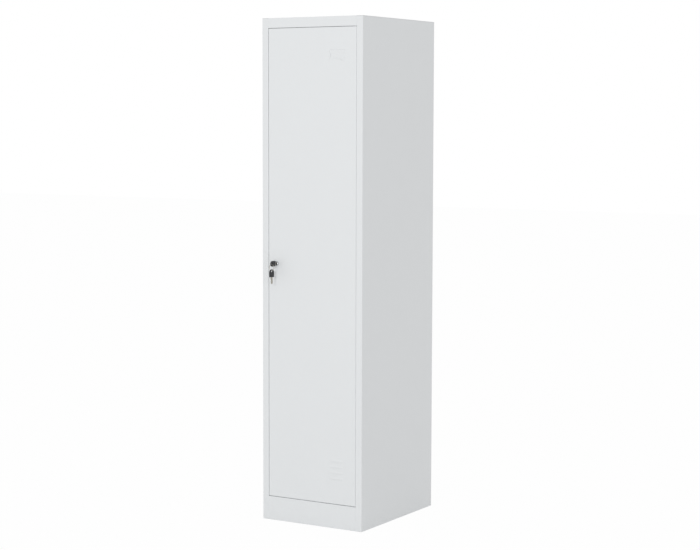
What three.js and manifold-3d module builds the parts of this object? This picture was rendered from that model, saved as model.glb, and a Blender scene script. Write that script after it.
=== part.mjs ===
// One-door steel locker: a carcass of folded sheet, a flush door on two pivot pins, a hat shelf and a
// coat rail, and a cam lock with its key in place and a spare key hanging from it on a ring.
// Millimetres. X runs across the front, Y from the front to the back and Z up.
// Pieces are drawn with Y = 0 at the front face and Z = 0 at the floor. The last lines move the origin
// under the middle of the whole outline.

import * as THREE from "three";
import { mergeVertices } from "three/addons/utils/BufferGeometryUtils.js";
import Module from "manifold-3d";

const wasm = await Module();
wasm.setup();

// Carcass
const WIDTH = 415;
const DEPTH = 512; // front face to back face, without the keys
const HEIGHT = 1800;
const SHEET = 0.8; // thickness of every folded panel
const BEND = 1.6; // outside radius of the folds of the carcass
const SEAM = 0.3; // gap at a welded, screwed or pressed seam

// Front frame
const STILE_WIDTH = 25; // also the margin at each side of the back
const STOP_WIDTH = 12; // door stop behind the door's edge
const STOP_GAP = 2.5; // back of the door to the stop
const HEADER_HEIGHT = 35.2;
const PLINTH_HEIGHT = 86;
const PLINTH_TOP = 30; // sheet folded back at the top of the plinth
const PLINTH_FOOT = 25; // sheet folded back at the floor

// Rear of the carcass
const REAR_LIP = 15; // lip folded forward from the rear margin
const DROP_FLANGE = 20; // flanges turned down from the top, floor and shelf
const FLOOR_LAP = 9; // floor sheet under the top of the plinth

// Shelf and coat rail
const SHELF_DROP = 330; // top of the locker to the shelf
const SHELF_SETBACK = 42; // front face to the front of the shelf
const SHELF_REAR_GAP = 3; // back of the shelf to the rear lips
const SHELF_SIDE_GAP = 1;
const SHELF_HEM = 10;
const RUNNER_LEG = 18;
const RUNNER_END_GAP = 12; // end of a runner to the shelf's folded edge
const RAIL_DROP = 70; // shelf to the middle of the coat rail
const RAIL_RADIUS = 9.5;
const RAIL_WALL = 1.2;
const SOCKET_PLAY = 0.4;
const SOCKET_WALL = 2.2;
const SOCKET_DEPTH = 14;
const SOCKET_BASE = 2;
const SOCKET_FLANGE = 7;

// Door
const DOOR_DEPTH = 20;
const DOOR_BEND = 2.4; // outside radius of the folds of the door
const DOOR_LIP = 14; // sheet folded inward round the back of the door
const LOCK_GAP = 1.2; // gap at the lock edge
const TOP_GAP = 1.2;
const BOTTOM_GAP = 1.6;
const SWEEP_CLEARANCE = 0.3; // hinge edge to the stile as the door swings
const STIFFENER_WIDTH = 76;
const STIFFENER_FLANGE = 14;
const STIFFENER_DEPTH = 15;
const STIFFENER_END_GAP = 30;

// Pivot hinges
const HINGE_INSET = 8; // hinge edge of the door to the pivot
const PIN_RADIUS = 1.8;
const PIN_HEAD = 1.6; // how far the head stands out round the pin
const PIN_HEAD_HEIGHT = 2;
const BUSH_WALL = 0.6;
const BUSH_FLOOR = 1.2;
const BUSH_BORE = 9;
const PLATE_THICKNESS = 3;
const PLATE_EDGE = 0.4; // least metal in front of the bush, which its flange covers
const PLATE_DEPTH = 16;
const PLATE_REACH = 28; // pivot to the far end of a plate

// Label holder: a shallow recess with three tabs in the plane of the door
const LABEL_WIDTH = 63;
const LABEL_HEIGHT = 38;
const LABEL_FROM_HINGE_EDGE = 47.5;
const LABEL_FROM_TOP = 78.6;
const LABEL_DEPTH = 1.2;
const SIDE_TAB = { reach: 5, root: 16, tip: 15 };
const FOOT_TAB = { reach: 6.5, root: 40, tip: 30 };

// Louvres
const LOUVRE_COUNT = 4;
const LOUVRE_WIDTH = 58;
const LOUVRE_HEIGHT = 10;
const LOUVRE_RISE = 1.4;
const LOUVRE_END = 7; // length of the rounded ends
const LOUVRE_PITCH = 21;
const LOUVRE_FROM_BOTTOM = 89; // foot of the door to the lowest lip

// Rubber buffers
const BUFFER_RADIUS = 5;
const BUFFER_STEM = 1.6;
const BUFFER_BULB = 2.5;
const BUFFER_TAIL = 3;
const BUFFER_FROM_END = 200; // end of the door to a buffer

// Screws
const SCREW_RADIUS = 2;
const SCREW_HEAD = 3.8;
const SCREW_HEAD_HEIGHT = 2.2;
const SCREW_CROSS = 0.9; // width of the cross recess
const SCREW_LENGTH = 7;
const BACK_SCREWS = 3;
const BACK_SCREW_FROM_END = 180;
const SHELF_SCREWS = 2;
const SHELF_SCREW_FROM_END = 70;

// Keys
const KEY_HEAD_LENGTH = 28;
const KEY_HEAD_WIDTH = 20;
const KEY_HEAD_THICKNESS = 5;
const KEY_HEAD_ROUND = 0.9;
const KEY_HOLE_RADIUS = 4;
const KEY_HOLE_RIM = 2.5;
const KEY_TANG = 11; // metal inside the head
const BLADE_LENGTH = 24; // metal outside the head
const BLADE_WIDTH = 8;
const BLADE_THICKNESS = 2;
const BLADE_NECK = 8; // plain metal beside the head
const BLADE_TIP = 2.5;
const BLADE_CUTS = [1.2, 2, 0.8, 1.6];
const RING_RADIUS = 10;
const WIRE_RADIUS = 0.75;
const SPARE_TURN = -Math.PI / 12; // how the spare key has turned on the ring

// Cam lock
const LOCK_FROM_EDGE = 33.3; // lock edge of the door to the lock
const LOCK_HEIGHT = 932;
const LOCK_FACE = 7; // how far the lock stands out
const LOCK_DOME = 2.2; // rounding of its rim
const BEZEL_RIM = 1.2;
const HOUSING_WALL = 2;
const HOUSING_FLAT = 1; // depth of the two flats that stop it turning
const PLUG_WALL = 1.5; // metal above and below the keyway
const PLUG_SETBACK = 0.6; // plug behind the face of the housing
const PLUG_SHOULDER = 2; // plug past the back of the housing
const TAIL_SIZE = 7;
const NUT_RIM = 3.2;
const NUT_THICKNESS = 4;
const CAM_GAP = 1.2; // stop to the cam when locked
const CAM_THICKNESS = 2;
const CAM_WIDTH = 16;
const CAM_OVERLAP = 9; // how far the cam reaches behind the stop
const WASHER_RIM = 1.6;
const WASHER_THICKNESS = 0.8;
const KEY_STANDOFF = 3.5; // face of the lock to the head of the key

// Fineness
const BEND_STEPS = 3;
const ROUND_SIDES = 24;
const SMALL_ROUND = 5; // radius below which half as many sides do
const LOUVRE_COLUMNS = 14;
const LOUVRE_ROWS = 5;
const RING_STEPS = 28;
const WIRE_SIDES = 6;
const MERGE = 1e-4;

// Places worked out from the sizes above
const HALF = WIDTH / 2;
const STILE_EDGE = HALF - STILE_WIDTH;
const POST_TOP = HEIGHT - SHEET - SEAM; // top of the posts and sides, under the top sheet
const FOLD_EDGE = BEND + SHEET; // corner of the locker to the edge of a post
const STOP_FACE = DOOR_DEPTH + STOP_GAP;
const FRAME_DEPTH = STOP_FACE + SHEET;
const HOLE_RADIUS = SCREW_RADIUS + SEAM;
const PIN_HOLE = PIN_RADIUS + SEAM;
const BUSH_RADIUS = PIN_HOLE + BUSH_WALL;
const BUSH_HOLE = BUSH_RADIUS + SEAM;
const HINGE_Y = SHEET + SEAM + Math.max(PLATE_EDGE + BUSH_HOLE, PIN_RADIUS + PIN_HEAD);
const HINGE_SWEEP = Math.hypot(HINGE_INSET - DOOR_BEND, HINGE_Y - DOOR_BEND) + DOOR_BEND - HINGE_INSET;
const HINGE_GAP = HINGE_SWEEP + SWEEP_CLEARANCE;
const DOOR = {
  left: LOCK_GAP - STILE_EDGE,
  right: STILE_EDGE - HINGE_GAP,
  bottom: PLINTH_HEIGHT + BOTTOM_GAP,
  top: HEIGHT - HEADER_HEIGHT - TOP_GAP,
};
const HINGE_X = DOOR.right - HINGE_INSET;
const LABEL_X = DOOR.right - LABEL_FROM_HINGE_EDGE - LABEL_WIDTH / 2;
const LABEL_Z = DOOR.top - LABEL_FROM_TOP - LABEL_HEIGHT / 2;
const SHELF_Z = HEIGHT - SHELF_DROP;
const SHELF_BACK = DEPTH - REAR_LIP - SHELF_REAR_GAP;
const RUNNER_X = HALF - SHEET - SEAM;
const RUNNER_Z = SHELF_Z - SHEET - SEAM;
const SHELF_SCREW_X = RUNNER_X - RUNNER_LEG / 2;
const RAIL_Z = SHELF_Z - RAIL_DROP;
const LOCK_X = DOOR.left + LOCK_FROM_EDGE;
const PLUG_RADIUS = BLADE_WIDTH / 2 + SEAM + PLUG_WALL;
const HOUSING_BORE = PLUG_RADIUS + SEAM;
const HOUSING_RADIUS = HOUSING_BORE + HOUSING_WALL;
const CAM_FRONT = FRAME_DEPTH + CAM_GAP;
const CAM_BACK = CAM_FRONT + CAM_THICKNESS;
const CAM_REACH = LOCK_X + STILE_EDGE - STOP_WIDTH + CAM_OVERLAP;
const PLUG_BACK = CAM_FRONT - SEAM;
const HOUSING_BACK = PLUG_BACK - PLUG_SHOULDER;
const WASHER_BACK = CAM_BACK + SEAM + WASHER_THICKNESS;
const KEY_HOLE_FROM_END = KEY_HOLE_RADIUS + KEY_HOLE_RIM;
const KEY_HOLE_Y = KEY_HEAD_LENGTH - KEY_HOLE_FROM_END + KEY_STANDOFF + LOCK_FACE; // in front of the door
const RING_SEAT = KEY_HOLE_RADIUS - WIRE_RADIUS - SEAM; // middle of a key's hole to the ring's wire
const HEAD_REACH =
  (KEY_HEAD_WIDTH / 2 - KEY_HEAD_ROUND) * Math.cos(SPARE_TURN) +
  (KEY_HEAD_THICKNESS / 2 - KEY_HEAD_ROUND) * Math.abs(Math.sin(SPARE_TURN)) +
  KEY_HEAD_ROUND;
const FRONT_REACH = KEY_HOLE_Y + Math.max(KEY_HOLE_FROM_END, HEAD_REACH);

// Finishes
const PAINT = { color: 0xdfe2e3, roughness: 0.45, metalness: 0 };
const ZINC = { color: 0xb9bcbd, roughness: 0.35, metalness: 1 };
const CHROME = { color: 0xd8dadb, roughness: 0.12, metalness: 1 };
const NICKEL = { color: 0xc4bfb2, roughness: 0.28, metalness: 1 };
const BLACK_PLASTIC = { color: 0x1c1d1f, roughness: 0.5, metalness: 0 };
const NYLON = { color: 0xe9e7df, roughness: 0.55, metalness: 0 };
const RUBBER = { color: 0x2b2b2c, roughness: 0.85, metalness: 0 };

const ALONG_ROD = new THREE.Vector3(0, 1, 0);
const ACROSS = [new THREE.Vector3(0, 1, 0), new THREE.Vector3(0, 0, 1), new THREE.Vector3(1, 0, 0)];
const FORWARD = [new THREE.Vector3(1, 0, 0), new THREE.Vector3(0, 0, 1), new THREE.Vector3(0, -1, 0)];

// Solids

// A closed geometry as a solid that can be joined and cut.
function solid(geometry) {
  const bare = new THREE.BufferGeometry();
  bare.setAttribute("position", geometry.getAttribute("position"));
  bare.setIndex(geometry.getIndex());
  const merged = mergeVertices(bare, MERGE);
  const mesh = new wasm.Mesh({
    numProp: 3,
    vertProperties: merged.getAttribute("position").array,
    triVerts: new Uint32Array(merged.getIndex().array),
  });
  return new wasm.Manifold(mesh);
}

// A solid as a geometry with flat faces.
function geometryOf(made) {
  const mesh = made.getMesh();
  const shared = new THREE.BufferGeometry();
  shared.setAttribute("position", new THREE.BufferAttribute(mesh.vertProperties, 3));
  shared.setIndex(new THREE.BufferAttribute(mesh.triVerts, 1));
  const geometry = shared.toNonIndexed();
  geometry.computeVertexNormals();
  return geometry;
}

function box([x0, y0, z0], [x1, y1, z1]) {
  const geometry = new THREE.BoxGeometry(x1 - x0, y1 - y0, z1 - z0);
  geometry.translate((x0 + x1) / 2, (y0 + y1) / 2, (z0 + z1) / 2);
  return solid(geometry);
}

function sidesFor(radius) {
  return radius < SMALL_ROUND ? ROUND_SIDES / 2 : ROUND_SIDES;
}

// A round bar between two points.
function rod(radius, start, end, sides = sidesFor(radius)) {
  const from = new THREE.Vector3(...start);
  const span = new THREE.Vector3(...end).sub(from);
  const geometry = new THREE.CylinderGeometry(radius, radius, span.length(), sides);
  geometry.applyQuaternion(new THREE.Quaternion().setFromUnitVectors(ALONG_ROD, span.clone().normalize()));
  const middle = from.addScaledVector(span, 0.5);
  geometry.translate(middle.x, middle.y, middle.z);
  return solid(geometry);
}

// A solid of revolution about Y, from [radius, distance] points that run from axis to axis.
function turnedAboutY(profile) {
  return solid(revolved(profile));
}

// The same about Z, for pieces that stand upright.
function turned(profile) {
  return solid(revolved(profile).rotateX(Math.PI / 2));
}

function revolved(profile) {
  const points = profile.map(([radius, distance]) => new THREE.Vector2(radius, distance));
  const widest = Math.max(...points.map((point) => point.x));
  return new THREE.LatheGeometry(points, sidesFor(widest));
}

// An outline in X and Y, drawn up from one height to another.
function drawnUp(shape, z0, z1) {
  const geometry = new THREE.ExtrudeGeometry(shape, { depth: z1 - z0, bevelEnabled: false });
  geometry.translate(0, 0, z0);
  return solid(geometry);
}

// An outline in Y and Z, drawn across from one X to another.
function drawnAcross(shape, x0, x1) {
  const geometry = new THREE.ExtrudeGeometry(shape, { depth: x1 - x0, bevelEnabled: false });
  geometry.applyMatrix4(new THREE.Matrix4().makeBasis(...ACROSS));
  geometry.translate(x0, 0, 0);
  return solid(geometry);
}

// An outline in X and Z, drawn from one depth to another. The edges at both ends are rounded over.
function drawnBack(shape, y0, y1, round = 0) {
  const geometry = new THREE.ExtrudeGeometry(shape, {
    depth: y1 - y0 - 2 * round,
    bevelEnabled: round > 0,
    bevelThickness: round,
    bevelSize: round,
    bevelSegments: BEND_STEPS,
  });
  geometry.applyMatrix4(new THREE.Matrix4().makeBasis(...FORWARD));
  geometry.translate(0, y1 - round, 0);
  return solid(geometry);
}

// Outlines

function arc(x, y, radius, from, to, steps) {
  const points = [];
  for (let i = 0; i <= steps; i += 1) {
    const angle = from + ((to - from) * i) / steps;
    points.push(new THREE.Vector2(x + radius * Math.cos(angle), y + radius * Math.sin(angle)));
  }
  return points;
}

function circle(radius) {
  return arc(0, 0, radius, 0, 2 * Math.PI, sidesFor(radius)).slice(1);
}

function outline(points) {
  return new THREE.Shape(points.map(([u, v]) => new THREE.Vector2(u, v)));
}

function rectangle(u0, u1, v0, v1) {
  return outline([[u0, v0], [u1, v0], [u1, v1], [u0, v1]]);
}

// The section of a folded sheet whose middle follows the given corners.
function folded(corners) {
  const path = corners.map(([u, v]) => new THREE.Vector2(u, v));
  const middleRadius = BEND - SHEET / 2;
  const left = [];
  const right = [];
  const last = path.length - 1;
  path.forEach((corner, i) => {
    const start = path[Math.min(i, last - 1)];
    const ahead = path[Math.min(i + 1, last)].clone().sub(start).normalize();
    const normal = new THREE.Vector2(-ahead.y, ahead.x);
    if (i === 0 || i === last) {
      left.push(corner.clone().addScaledVector(normal, SHEET / 2));
      right.push(corner.clone().addScaledVector(normal, -SHEET / 2));
      return;
    }
    const behind = corner.clone().sub(path[i - 1]).normalize();
    const turn = Math.atan2(behind.cross(ahead), behind.dot(ahead));
    const sign = Math.sign(turn);
    const toCentre = new THREE.Vector2(-behind.y, behind.x).multiplyScalar(sign);
    const centre = corner
      .clone()
      .addScaledVector(behind, -middleRadius * Math.tan(Math.abs(turn) / 2))
      .addScaledVector(toCentre, middleRadius);
    const from = Math.atan2(-toCentre.y, -toCentre.x);
    const leftRadius = middleRadius - (sign * SHEET) / 2;
    const rightRadius = middleRadius + (sign * SHEET) / 2;
    left.push(...arc(centre.x, centre.y, leftRadius, from, from + turn, BEND_STEPS));
    right.push(...arc(centre.x, centre.y, rightRadius, from, from + turn, BEND_STEPS));
  });
  return new THREE.Shape([...left, ...right.reverse()]);
}

function evenly(count, from, to) {
  return Array.from({ length: count }, (_, i) => from + ((to - from) * i) / (count - 1));
}

// Two distances from the middle of the locker as X values on one side of it, the lower first.
function onSide(side, near, far) {
  return side < 0 ? [-far, -near] : [near, far];
}

// Carcass

const backScrewHeights = evenly(BACK_SCREWS, BACK_SCREW_FROM_END, HEIGHT - BACK_SCREW_FROM_END);
const backScrewY = DEPTH - REAR_LIP / 2;
const bufferX = STOP_WIDTH / 2 - STILE_EDGE;
const bufferHeights = { lower: DOOR.bottom + BUFFER_FROM_END, upper: DOOR.top - BUFFER_FROM_END };

// The plain sheet of one side, butted to the edges of the front and rear posts.
function sidePanel(side) {
  const [x0, x1] = onSide(side, HALF - SHEET, HALF);
  return box([x0, FOLD_EDGE + SEAM, 0], [x1, DEPTH - FOLD_EDGE - SEAM, POST_TOP]);
}

// The front post: the corner of the side, the stile and the return beside the door.
function stile(side) {
  const middle = SHEET / 2;
  const corners = [
    [STILE_EDGE + middle, FRAME_DEPTH],
    [STILE_EDGE + middle, middle],
    [HALF - middle, middle],
    [HALF - middle, FOLD_EDGE],
  ];
  return drawnUp(folded(corners.map(([x, y]) => [side * x, y])), 0, POST_TOP);
}

// The rear post: the corner of the side, the margin of the back and the lip that the back screws to.
function rearPost(side) {
  const middle = SHEET / 2;
  const corners = [
    [HALF - middle, DEPTH - FOLD_EDGE],
    [HALF - middle, DEPTH - middle],
    [STILE_EDGE + middle, DEPTH - middle],
    [STILE_EDGE + middle, DEPTH - REAR_LIP],
  ];
  let post = drawnUp(folded(corners.map(([x, y]) => [side * x, y])), 0, POST_TOP);
  for (const z of backScrewHeights) {
    const end = [side * (STILE_EDGE + BEND), backScrewY, z];
    post = post.subtract(rod(HOLE_RADIUS, [0, backScrewY, z], end));
  }
  return post;
}

// The strip behind one edge of the door, on the return of the stile.
function doorStop(side) {
  const [x0, x1] = onSide(side, STILE_EDGE - STOP_WIDTH, STILE_EDGE - SEAM);
  const top = HEIGHT - HEADER_HEIGHT - SEAM;
  return box([x0, STOP_FACE, PLINTH_HEIGHT + SEAM], [x1, FRAME_DEPTH, top]);
}

// The rubber buffers sit in holes in the stop of the lock side.
function lockSideStop() {
  let strip = doorStop(-1);
  for (const z of Object.values(bufferHeights)) {
    strip = strip.subtract(rod(BUFFER_STEM + SEAM, [bufferX, DOOR_DEPTH, z], [bufferX, CAM_FRONT, z]));
  }
  return strip;
}

function backPanel() {
  const edge = STILE_EDGE - SEAM - SHEET / 2;
  const back = DEPTH - SHEET / 2;
  const lip = DEPTH - REAR_LIP;
  const section = folded([[-edge, lip], [-edge, back], [edge, back], [edge, lip]]);
  const topRoom = box([-HALF, 0, HEIGHT - DROP_FLANGE - SEAM], [HALF, DEPTH - SHEET, HEIGHT + BEND]);
  let panel = drawnUp(section, 0, HEIGHT).subtract(topRoom);
  for (const z of backScrewHeights) {
    panel = panel.subtract(rod(HOLE_RADIUS, [-HALF, backScrewY, z], [HALF, backScrewY, z]));
  }
  return panel;
}

// The top sheet, which lies on the posts and sides, with the header and its door stop folded down in
// front and a flange at the back.
function topPanel() {
  const middle = SHEET / 2;
  const edge = STILE_EDGE - SEAM;
  const back = DEPTH - SHEET - SEAM - middle;
  const foot = HEIGHT - HEADER_HEIGHT;
  const section = folded([
    [FRAME_DEPTH - middle, foot - STOP_WIDTH],
    [FRAME_DEPTH - middle, foot + middle],
    [middle, foot + middle],
    [middle, HEIGHT - middle],
    [back, HEIGHT - middle],
    [back, HEIGHT - DROP_FLANGE],
  ]);
  let panel = drawnAcross(section, -edge, edge);
  for (const side of [-1, 1]) {
    const wing = onSide(side, edge - SHEET, HALF);
    const corner = onSide(side, STILE_EDGE, HALF);
    const stopEnd = onSide(side, edge - STOP_WIDTH, edge);
    const stopFoot = foot - STOP_WIDTH - SEAM;
    panel = panel
      .add(box([wing[0], BEND, HEIGHT - SHEET], [wing[1], DEPTH - SHEET - SEAM - BEND, HEIGHT]))
      .add(box([corner[0], 0, HEIGHT - SHEET], [corner[1], DEPTH, HEIGHT]))
      .subtract(box([stopEnd[0], DOOR_DEPTH, stopFoot], [stopEnd[1], FRAME_DEPTH + SEAM, foot]));
  }
  const hole = [foot - SHEET, foot + 2 * SHEET].map((z) => [HINGE_X, HINGE_Y, z]);
  return panel.subtract(rod(PIN_HOLE, ...hole));
}

function plinth() {
  const middle = SHEET / 2;
  const edge = STILE_EDGE - SEAM;
  const section = folded([
    [PLINTH_FOOT, middle],
    [middle, middle],
    [middle, PLINTH_HEIGHT - middle],
    [PLINTH_TOP, PLINTH_HEIGHT - middle],
  ]);
  const hole = [PLINTH_HEIGHT - 2 * SHEET, PLINTH_HEIGHT + SHEET].map((z) => [HINGE_X, HINGE_Y, z]);
  return drawnAcross(section, -edge, edge).subtract(rod(PIN_HOLE, ...hole));
}

// The floor sheet, notched round the stiles and the rear lips, with flanges turned down at three edges.
function floorPanel() {
  const top = PLINTH_HEIGHT - SHEET - SEAM;
  const front = PLINTH_TOP - FLOOR_LAP;
  const shoulder = Math.max(FRAME_DEPTH + SEAM, PLINTH_TOP + SEAM);
  const side = HALF - SHEET - SEAM;
  const lips = DEPTH - REAR_LIP - SEAM;
  const inner = STILE_EDGE - SEAM;
  const rear = STILE_EDGE - SEAM - BEND - SEAM;
  const back = DEPTH - SHEET - SEAM;
  const half = [
    [inner, front],
    [inner, shoulder],
    [side, shoulder],
    [side, lips],
    [rear, lips],
    [rear, back],
  ];
  const mirrored = half.map(([x, y]) => [-x, y]).reverse();
  const flange = top - DROP_FLANGE;
  return drawnUp(outline([...half, ...mirrored]), top - SHEET, top)
    .add(box([-side, shoulder, flange], [SHEET - side, lips, top - SHEET / 2]))
    .add(box([side - SHEET, shoulder, flange], [side, lips, top - SHEET / 2]))
    .add(box([-rear, back - SHEET, flange], [rear, back, top - SHEET / 2]));
}

function shelf() {
  const middle = SHEET / 2;
  const edge = HALF - SHEET - SHELF_SIDE_GAP;
  const foot = SHELF_Z - DROP_FLANGE;
  let panel = drawnAcross(
    folded([
      [SHELF_SETBACK + SHELF_HEM, foot + middle],
      [SHELF_SETBACK + middle, foot + middle],
      [SHELF_SETBACK + middle, SHELF_Z - middle],
      [SHELF_BACK - middle, SHELF_Z - middle],
      [SHELF_BACK - middle, foot],
    ]),
    -edge,
    edge,
  );
  for (const [x, y] of shelfScrewPlaces()) {
    panel = panel.subtract(rod(HOLE_RADIUS, [x, y, foot], [x, y, SHELF_Z + SHEET]));
  }
  return panel;
}

function shelfScrewPlaces() {
  const first = SHELF_SETBACK + SHELF_SCREW_FROM_END;
  const depths = evenly(SHELF_SCREWS, first, SHELF_BACK - SHELF_SCREW_FROM_END);
  return [-1, 1].flatMap((side) => depths.map((y) => [side * SHELF_SCREW_X, y]));
}

// An angle on the side panel, with its upper leg under the shelf.
function shelfRunner(side) {
  const middle = SHEET / 2;
  const section = folded(
    [
      [RUNNER_X - middle, RUNNER_Z - RUNNER_LEG],
      [RUNNER_X - middle, RUNNER_Z - middle],
      [RUNNER_X - RUNNER_LEG, RUNNER_Z - middle],
    ].map(([x, z]) => [side * x, z]),
  );
  const from = SHELF_SETBACK + SHELF_HEM + RUNNER_END_GAP;
  let runner = drawnBack(section, from, SHELF_BACK - RUNNER_END_GAP);
  for (const [x, y] of shelfScrewPlaces()) {
    runner = runner.subtract(rod(HOLE_RADIUS, [x, y, RUNNER_Z - RUNNER_LEG], [x, y, RUNNER_Z + SHEET]));
  }
  return runner;
}

function coatRail() {
  const end = HALF - SHEET - SEAM - SOCKET_BASE - SEAM;
  const tube = rod(RAIL_RADIUS, [-end, 0, 0], [end, 0, 0]);
  return tube.subtract(rod(RAIL_RADIUS - RAIL_WALL, [-HALF, 0, 0], [HALF, 0, 0]));
}

// A cup that the rail drops into from above, drawn with its base at X = 0.
function railSocket() {
  const bore = RAIL_RADIUS + SOCKET_PLAY;
  const wall = bore + SOCKET_WALL;
  const depth = SOCKET_BASE + SOCKET_DEPTH;
  const slot = box([SOCKET_BASE, -bore, 0], [depth + SEAM, bore, wall + SEAM]);
  return rod(wall + SOCKET_FLANGE, [0, 0, 0], [SOCKET_BASE, 0, 0])
    .add(rod(wall, [SOCKET_BASE / 2, 0, 0], [depth, 0, 0]))
    .subtract(rod(bore, [SOCKET_BASE, 0, 0], [depth + SEAM, 0, 0]))
    .subtract(slot);
}

// A pan-head screw with its head above Z = 0 and its shank below.
function screw(length) {
  const arm = SCREW_HEAD * 0.6;
  const floor = SCREW_HEAD_HEIGHT * 0.45;
  const slot = SCREW_CROSS / 2;
  return turned([
    [0, -length],
    [SCREW_RADIUS - SEAM, -length],
    [SCREW_RADIUS, SEAM - length],
    [SCREW_RADIUS, 0],
    [SCREW_HEAD, 0],
    [SCREW_HEAD, SCREW_HEAD_HEIGHT * 0.35],
    [SCREW_HEAD * 0.72, SCREW_HEAD_HEIGHT * 0.85],
    [0, SCREW_HEAD_HEIGHT],
  ])
    .subtract(box([-arm, -slot, floor], [arm, slot, SCREW_HEAD_HEIGHT + SEAM]))
    .subtract(box([-slot, -arm, floor], [slot, arm, SCREW_HEAD_HEIGHT + SEAM]));
}

// A push-in rubber buffer: the head fills the gap to the door, and a bulb holds it behind the stop.
function buffer() {
  const head = STOP_GAP - SEAM;
  const tail = SHEET + SEAM;
  return turned([
    [0, -tail - BUFFER_TAIL],
    [BUFFER_STEM * 0.6, -tail - BUFFER_TAIL],
    [BUFFER_BULB, -tail],
    [BUFFER_STEM, -tail],
    [BUFFER_STEM, SEAM],
    [BUFFER_RADIUS, SEAM],
    [BUFFER_RADIUS, head * 0.6],
    [BUFFER_RADIUS * 0.75, head],
    [0, head],
  ]);
}

// Pivot hinges. The upper one is drawn, and the lower one is the same turned over.

const frameHinge = { upper: HEIGHT - HEADER_HEIGHT + SHEET + SEAM, lower: PLINTH_HEIGHT - SHEET - SEAM };
const doorHinge = { upper: DOOR.top - DOOR_BEND - SEAM, lower: DOOR.bottom + DOOR_BEND + SEAM };

function pinLength(gap) {
  return SEAM + PLATE_THICKNESS + SHEET + SEAM + gap + DOOR_BEND + SEAM + BUSH_BORE - SEAM;
}

// A headed pin. Z = 0 is under the head.
function hingePin(gap) {
  const length = pinLength(gap);
  return turned([
    [0, -length],
    [PIN_RADIUS - SEAM, -length],
    [PIN_RADIUS, SEAM - length],
    [PIN_RADIUS, 0],
    [PIN_RADIUS + PIN_HEAD, 0],
    [PIN_RADIUS + PIN_HEAD, PIN_HEAD_HEIGHT * 0.7],
    [PIN_RADIUS + PIN_HEAD * 0.7, PIN_HEAD_HEIGHT],
    [0, PIN_HEAD_HEIGHT],
  ]);
}

// A plate with its outer face at Z = 0 and the pivot at the origin.
function hingePlate(front, edge, hole) {
  const plate = box(
    [-PLATE_REACH, front - HINGE_Y, -PLATE_THICKNESS],
    [edge - HINGE_X, PLATE_DEPTH - HINGE_Y, 0],
  );
  return plate.subtract(rod(hole, [0, 0, -PLATE_THICKNESS - SEAM], [0, 0, SEAM]));
}

// A blind bush that drops into the door's plate. The end of the lower pin carries the door in it.
function hingeBush() {
  const flange = -PLATE_THICKNESS - SEAM;
  return turned([
    [0, -BUSH_BORE - BUSH_FLOOR],
    [BUSH_RADIUS, -BUSH_BORE - BUSH_FLOOR],
    [BUSH_RADIUS, flange - BUSH_FLOOR],
    [BUSH_HOLE + PLATE_EDGE, flange - BUSH_FLOOR],
    [BUSH_HOLE + PLATE_EDGE, flange],
    [BUSH_RADIUS, flange],
    [BUSH_RADIUS, 0],
    [PIN_HOLE, 0],
    [PIN_HOLE, -BUSH_BORE],
    [0, -BUSH_BORE],
  ]);
}

// Door

// The height of a pressed louvre above the sheet, across its width and from its lip to its root.
function louvreRise(x, up) {
  const fromEnd = Math.min(1, (LOUVRE_WIDTH / 2 - Math.abs(x)) / LOUVRE_END);
  const across = Math.sin((fromEnd * Math.PI) / 2);
  const root = (1 + Math.cos((up / LOUVRE_HEIGHT) * Math.PI)) / 2;
  return LOUVRE_RISE * across * root;
}

// A sheet pressed out of the door, open under its lip.
function louvre(lip) {
  const positions = [];
  const index = [];
  const across = LOUVRE_ROWS + 1;
  const layer = (LOUVRE_COLUMNS + 1) * across;
  for (const depth of [0, SHEET]) {
    for (let column = 0; column <= LOUVRE_COLUMNS; column += 1) {
      for (let row = 0; row <= LOUVRE_ROWS; row += 1) {
        const x = LOUVRE_WIDTH * (column / LOUVRE_COLUMNS - 0.5);
        const up = (LOUVRE_HEIGHT * row) / LOUVRE_ROWS;
        positions.push(LABEL_X + x, depth - louvreRise(x, up), lip + up);
      }
    }
  }
  const quad = (a, b, c, d) => index.push(a, b, c, a, c, d);
  const at = (column, row) => column * across + row;
  for (let column = 0; column < LOUVRE_COLUMNS; column += 1) {
    for (let row = 0; row < LOUVRE_ROWS; row += 1) {
      const [a, d] = [at(column, row), at(column, row + 1)];
      const [b, c] = [at(column + 1, row), at(column + 1, row + 1)];
      quad(a, b, c, d);
      quad(d + layer, c + layer, b + layer, a + layer);
    }
    for (const [row, flip] of [[0, false], [LOUVRE_ROWS, true]]) {
      const [a, b] = flip ? [at(column + 1, row), at(column, row)] : [at(column, row), at(column + 1, row)];
      quad(b, a, a + layer, b + layer);
    }
  }
  for (let row = 0; row < LOUVRE_ROWS; row += 1) {
    const [first, second] = [at(0, row), at(0, row + 1)];
    const [third, fourth] = [at(LOUVRE_COLUMNS, row + 1), at(LOUVRE_COLUMNS, row)];
    quad(first, second, second + layer, first + layer);
    quad(third, fourth, fourth + layer, third + layer);
  }
  const geometry = new THREE.BufferGeometry();
  geometry.setAttribute("position", new THREE.Float32BufferAttribute(positions, 3));
  geometry.setIndex(index);
  return solid(geometry);
}

function pressLouvres(panel) {
  const lap = SHEET / 2;
  const left = LABEL_X - LOUVRE_WIDTH / 2 + lap;
  const right = LABEL_X + LOUVRE_WIDTH / 2 - lap;
  let pressed = panel;
  for (let i = 0; i < LOUVRE_COUNT; i += 1) {
    const lip = DOOR.bottom + LOUVRE_FROM_BOTTOM + i * LOUVRE_PITCH;
    const window = box([left, -SHEET, lip], [right, 2 * SHEET, lip + LOUVRE_HEIGHT - lap]);
    pressed = pressed.subtract(window).add(louvre(lip));
  }
  return pressed;
}

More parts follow.
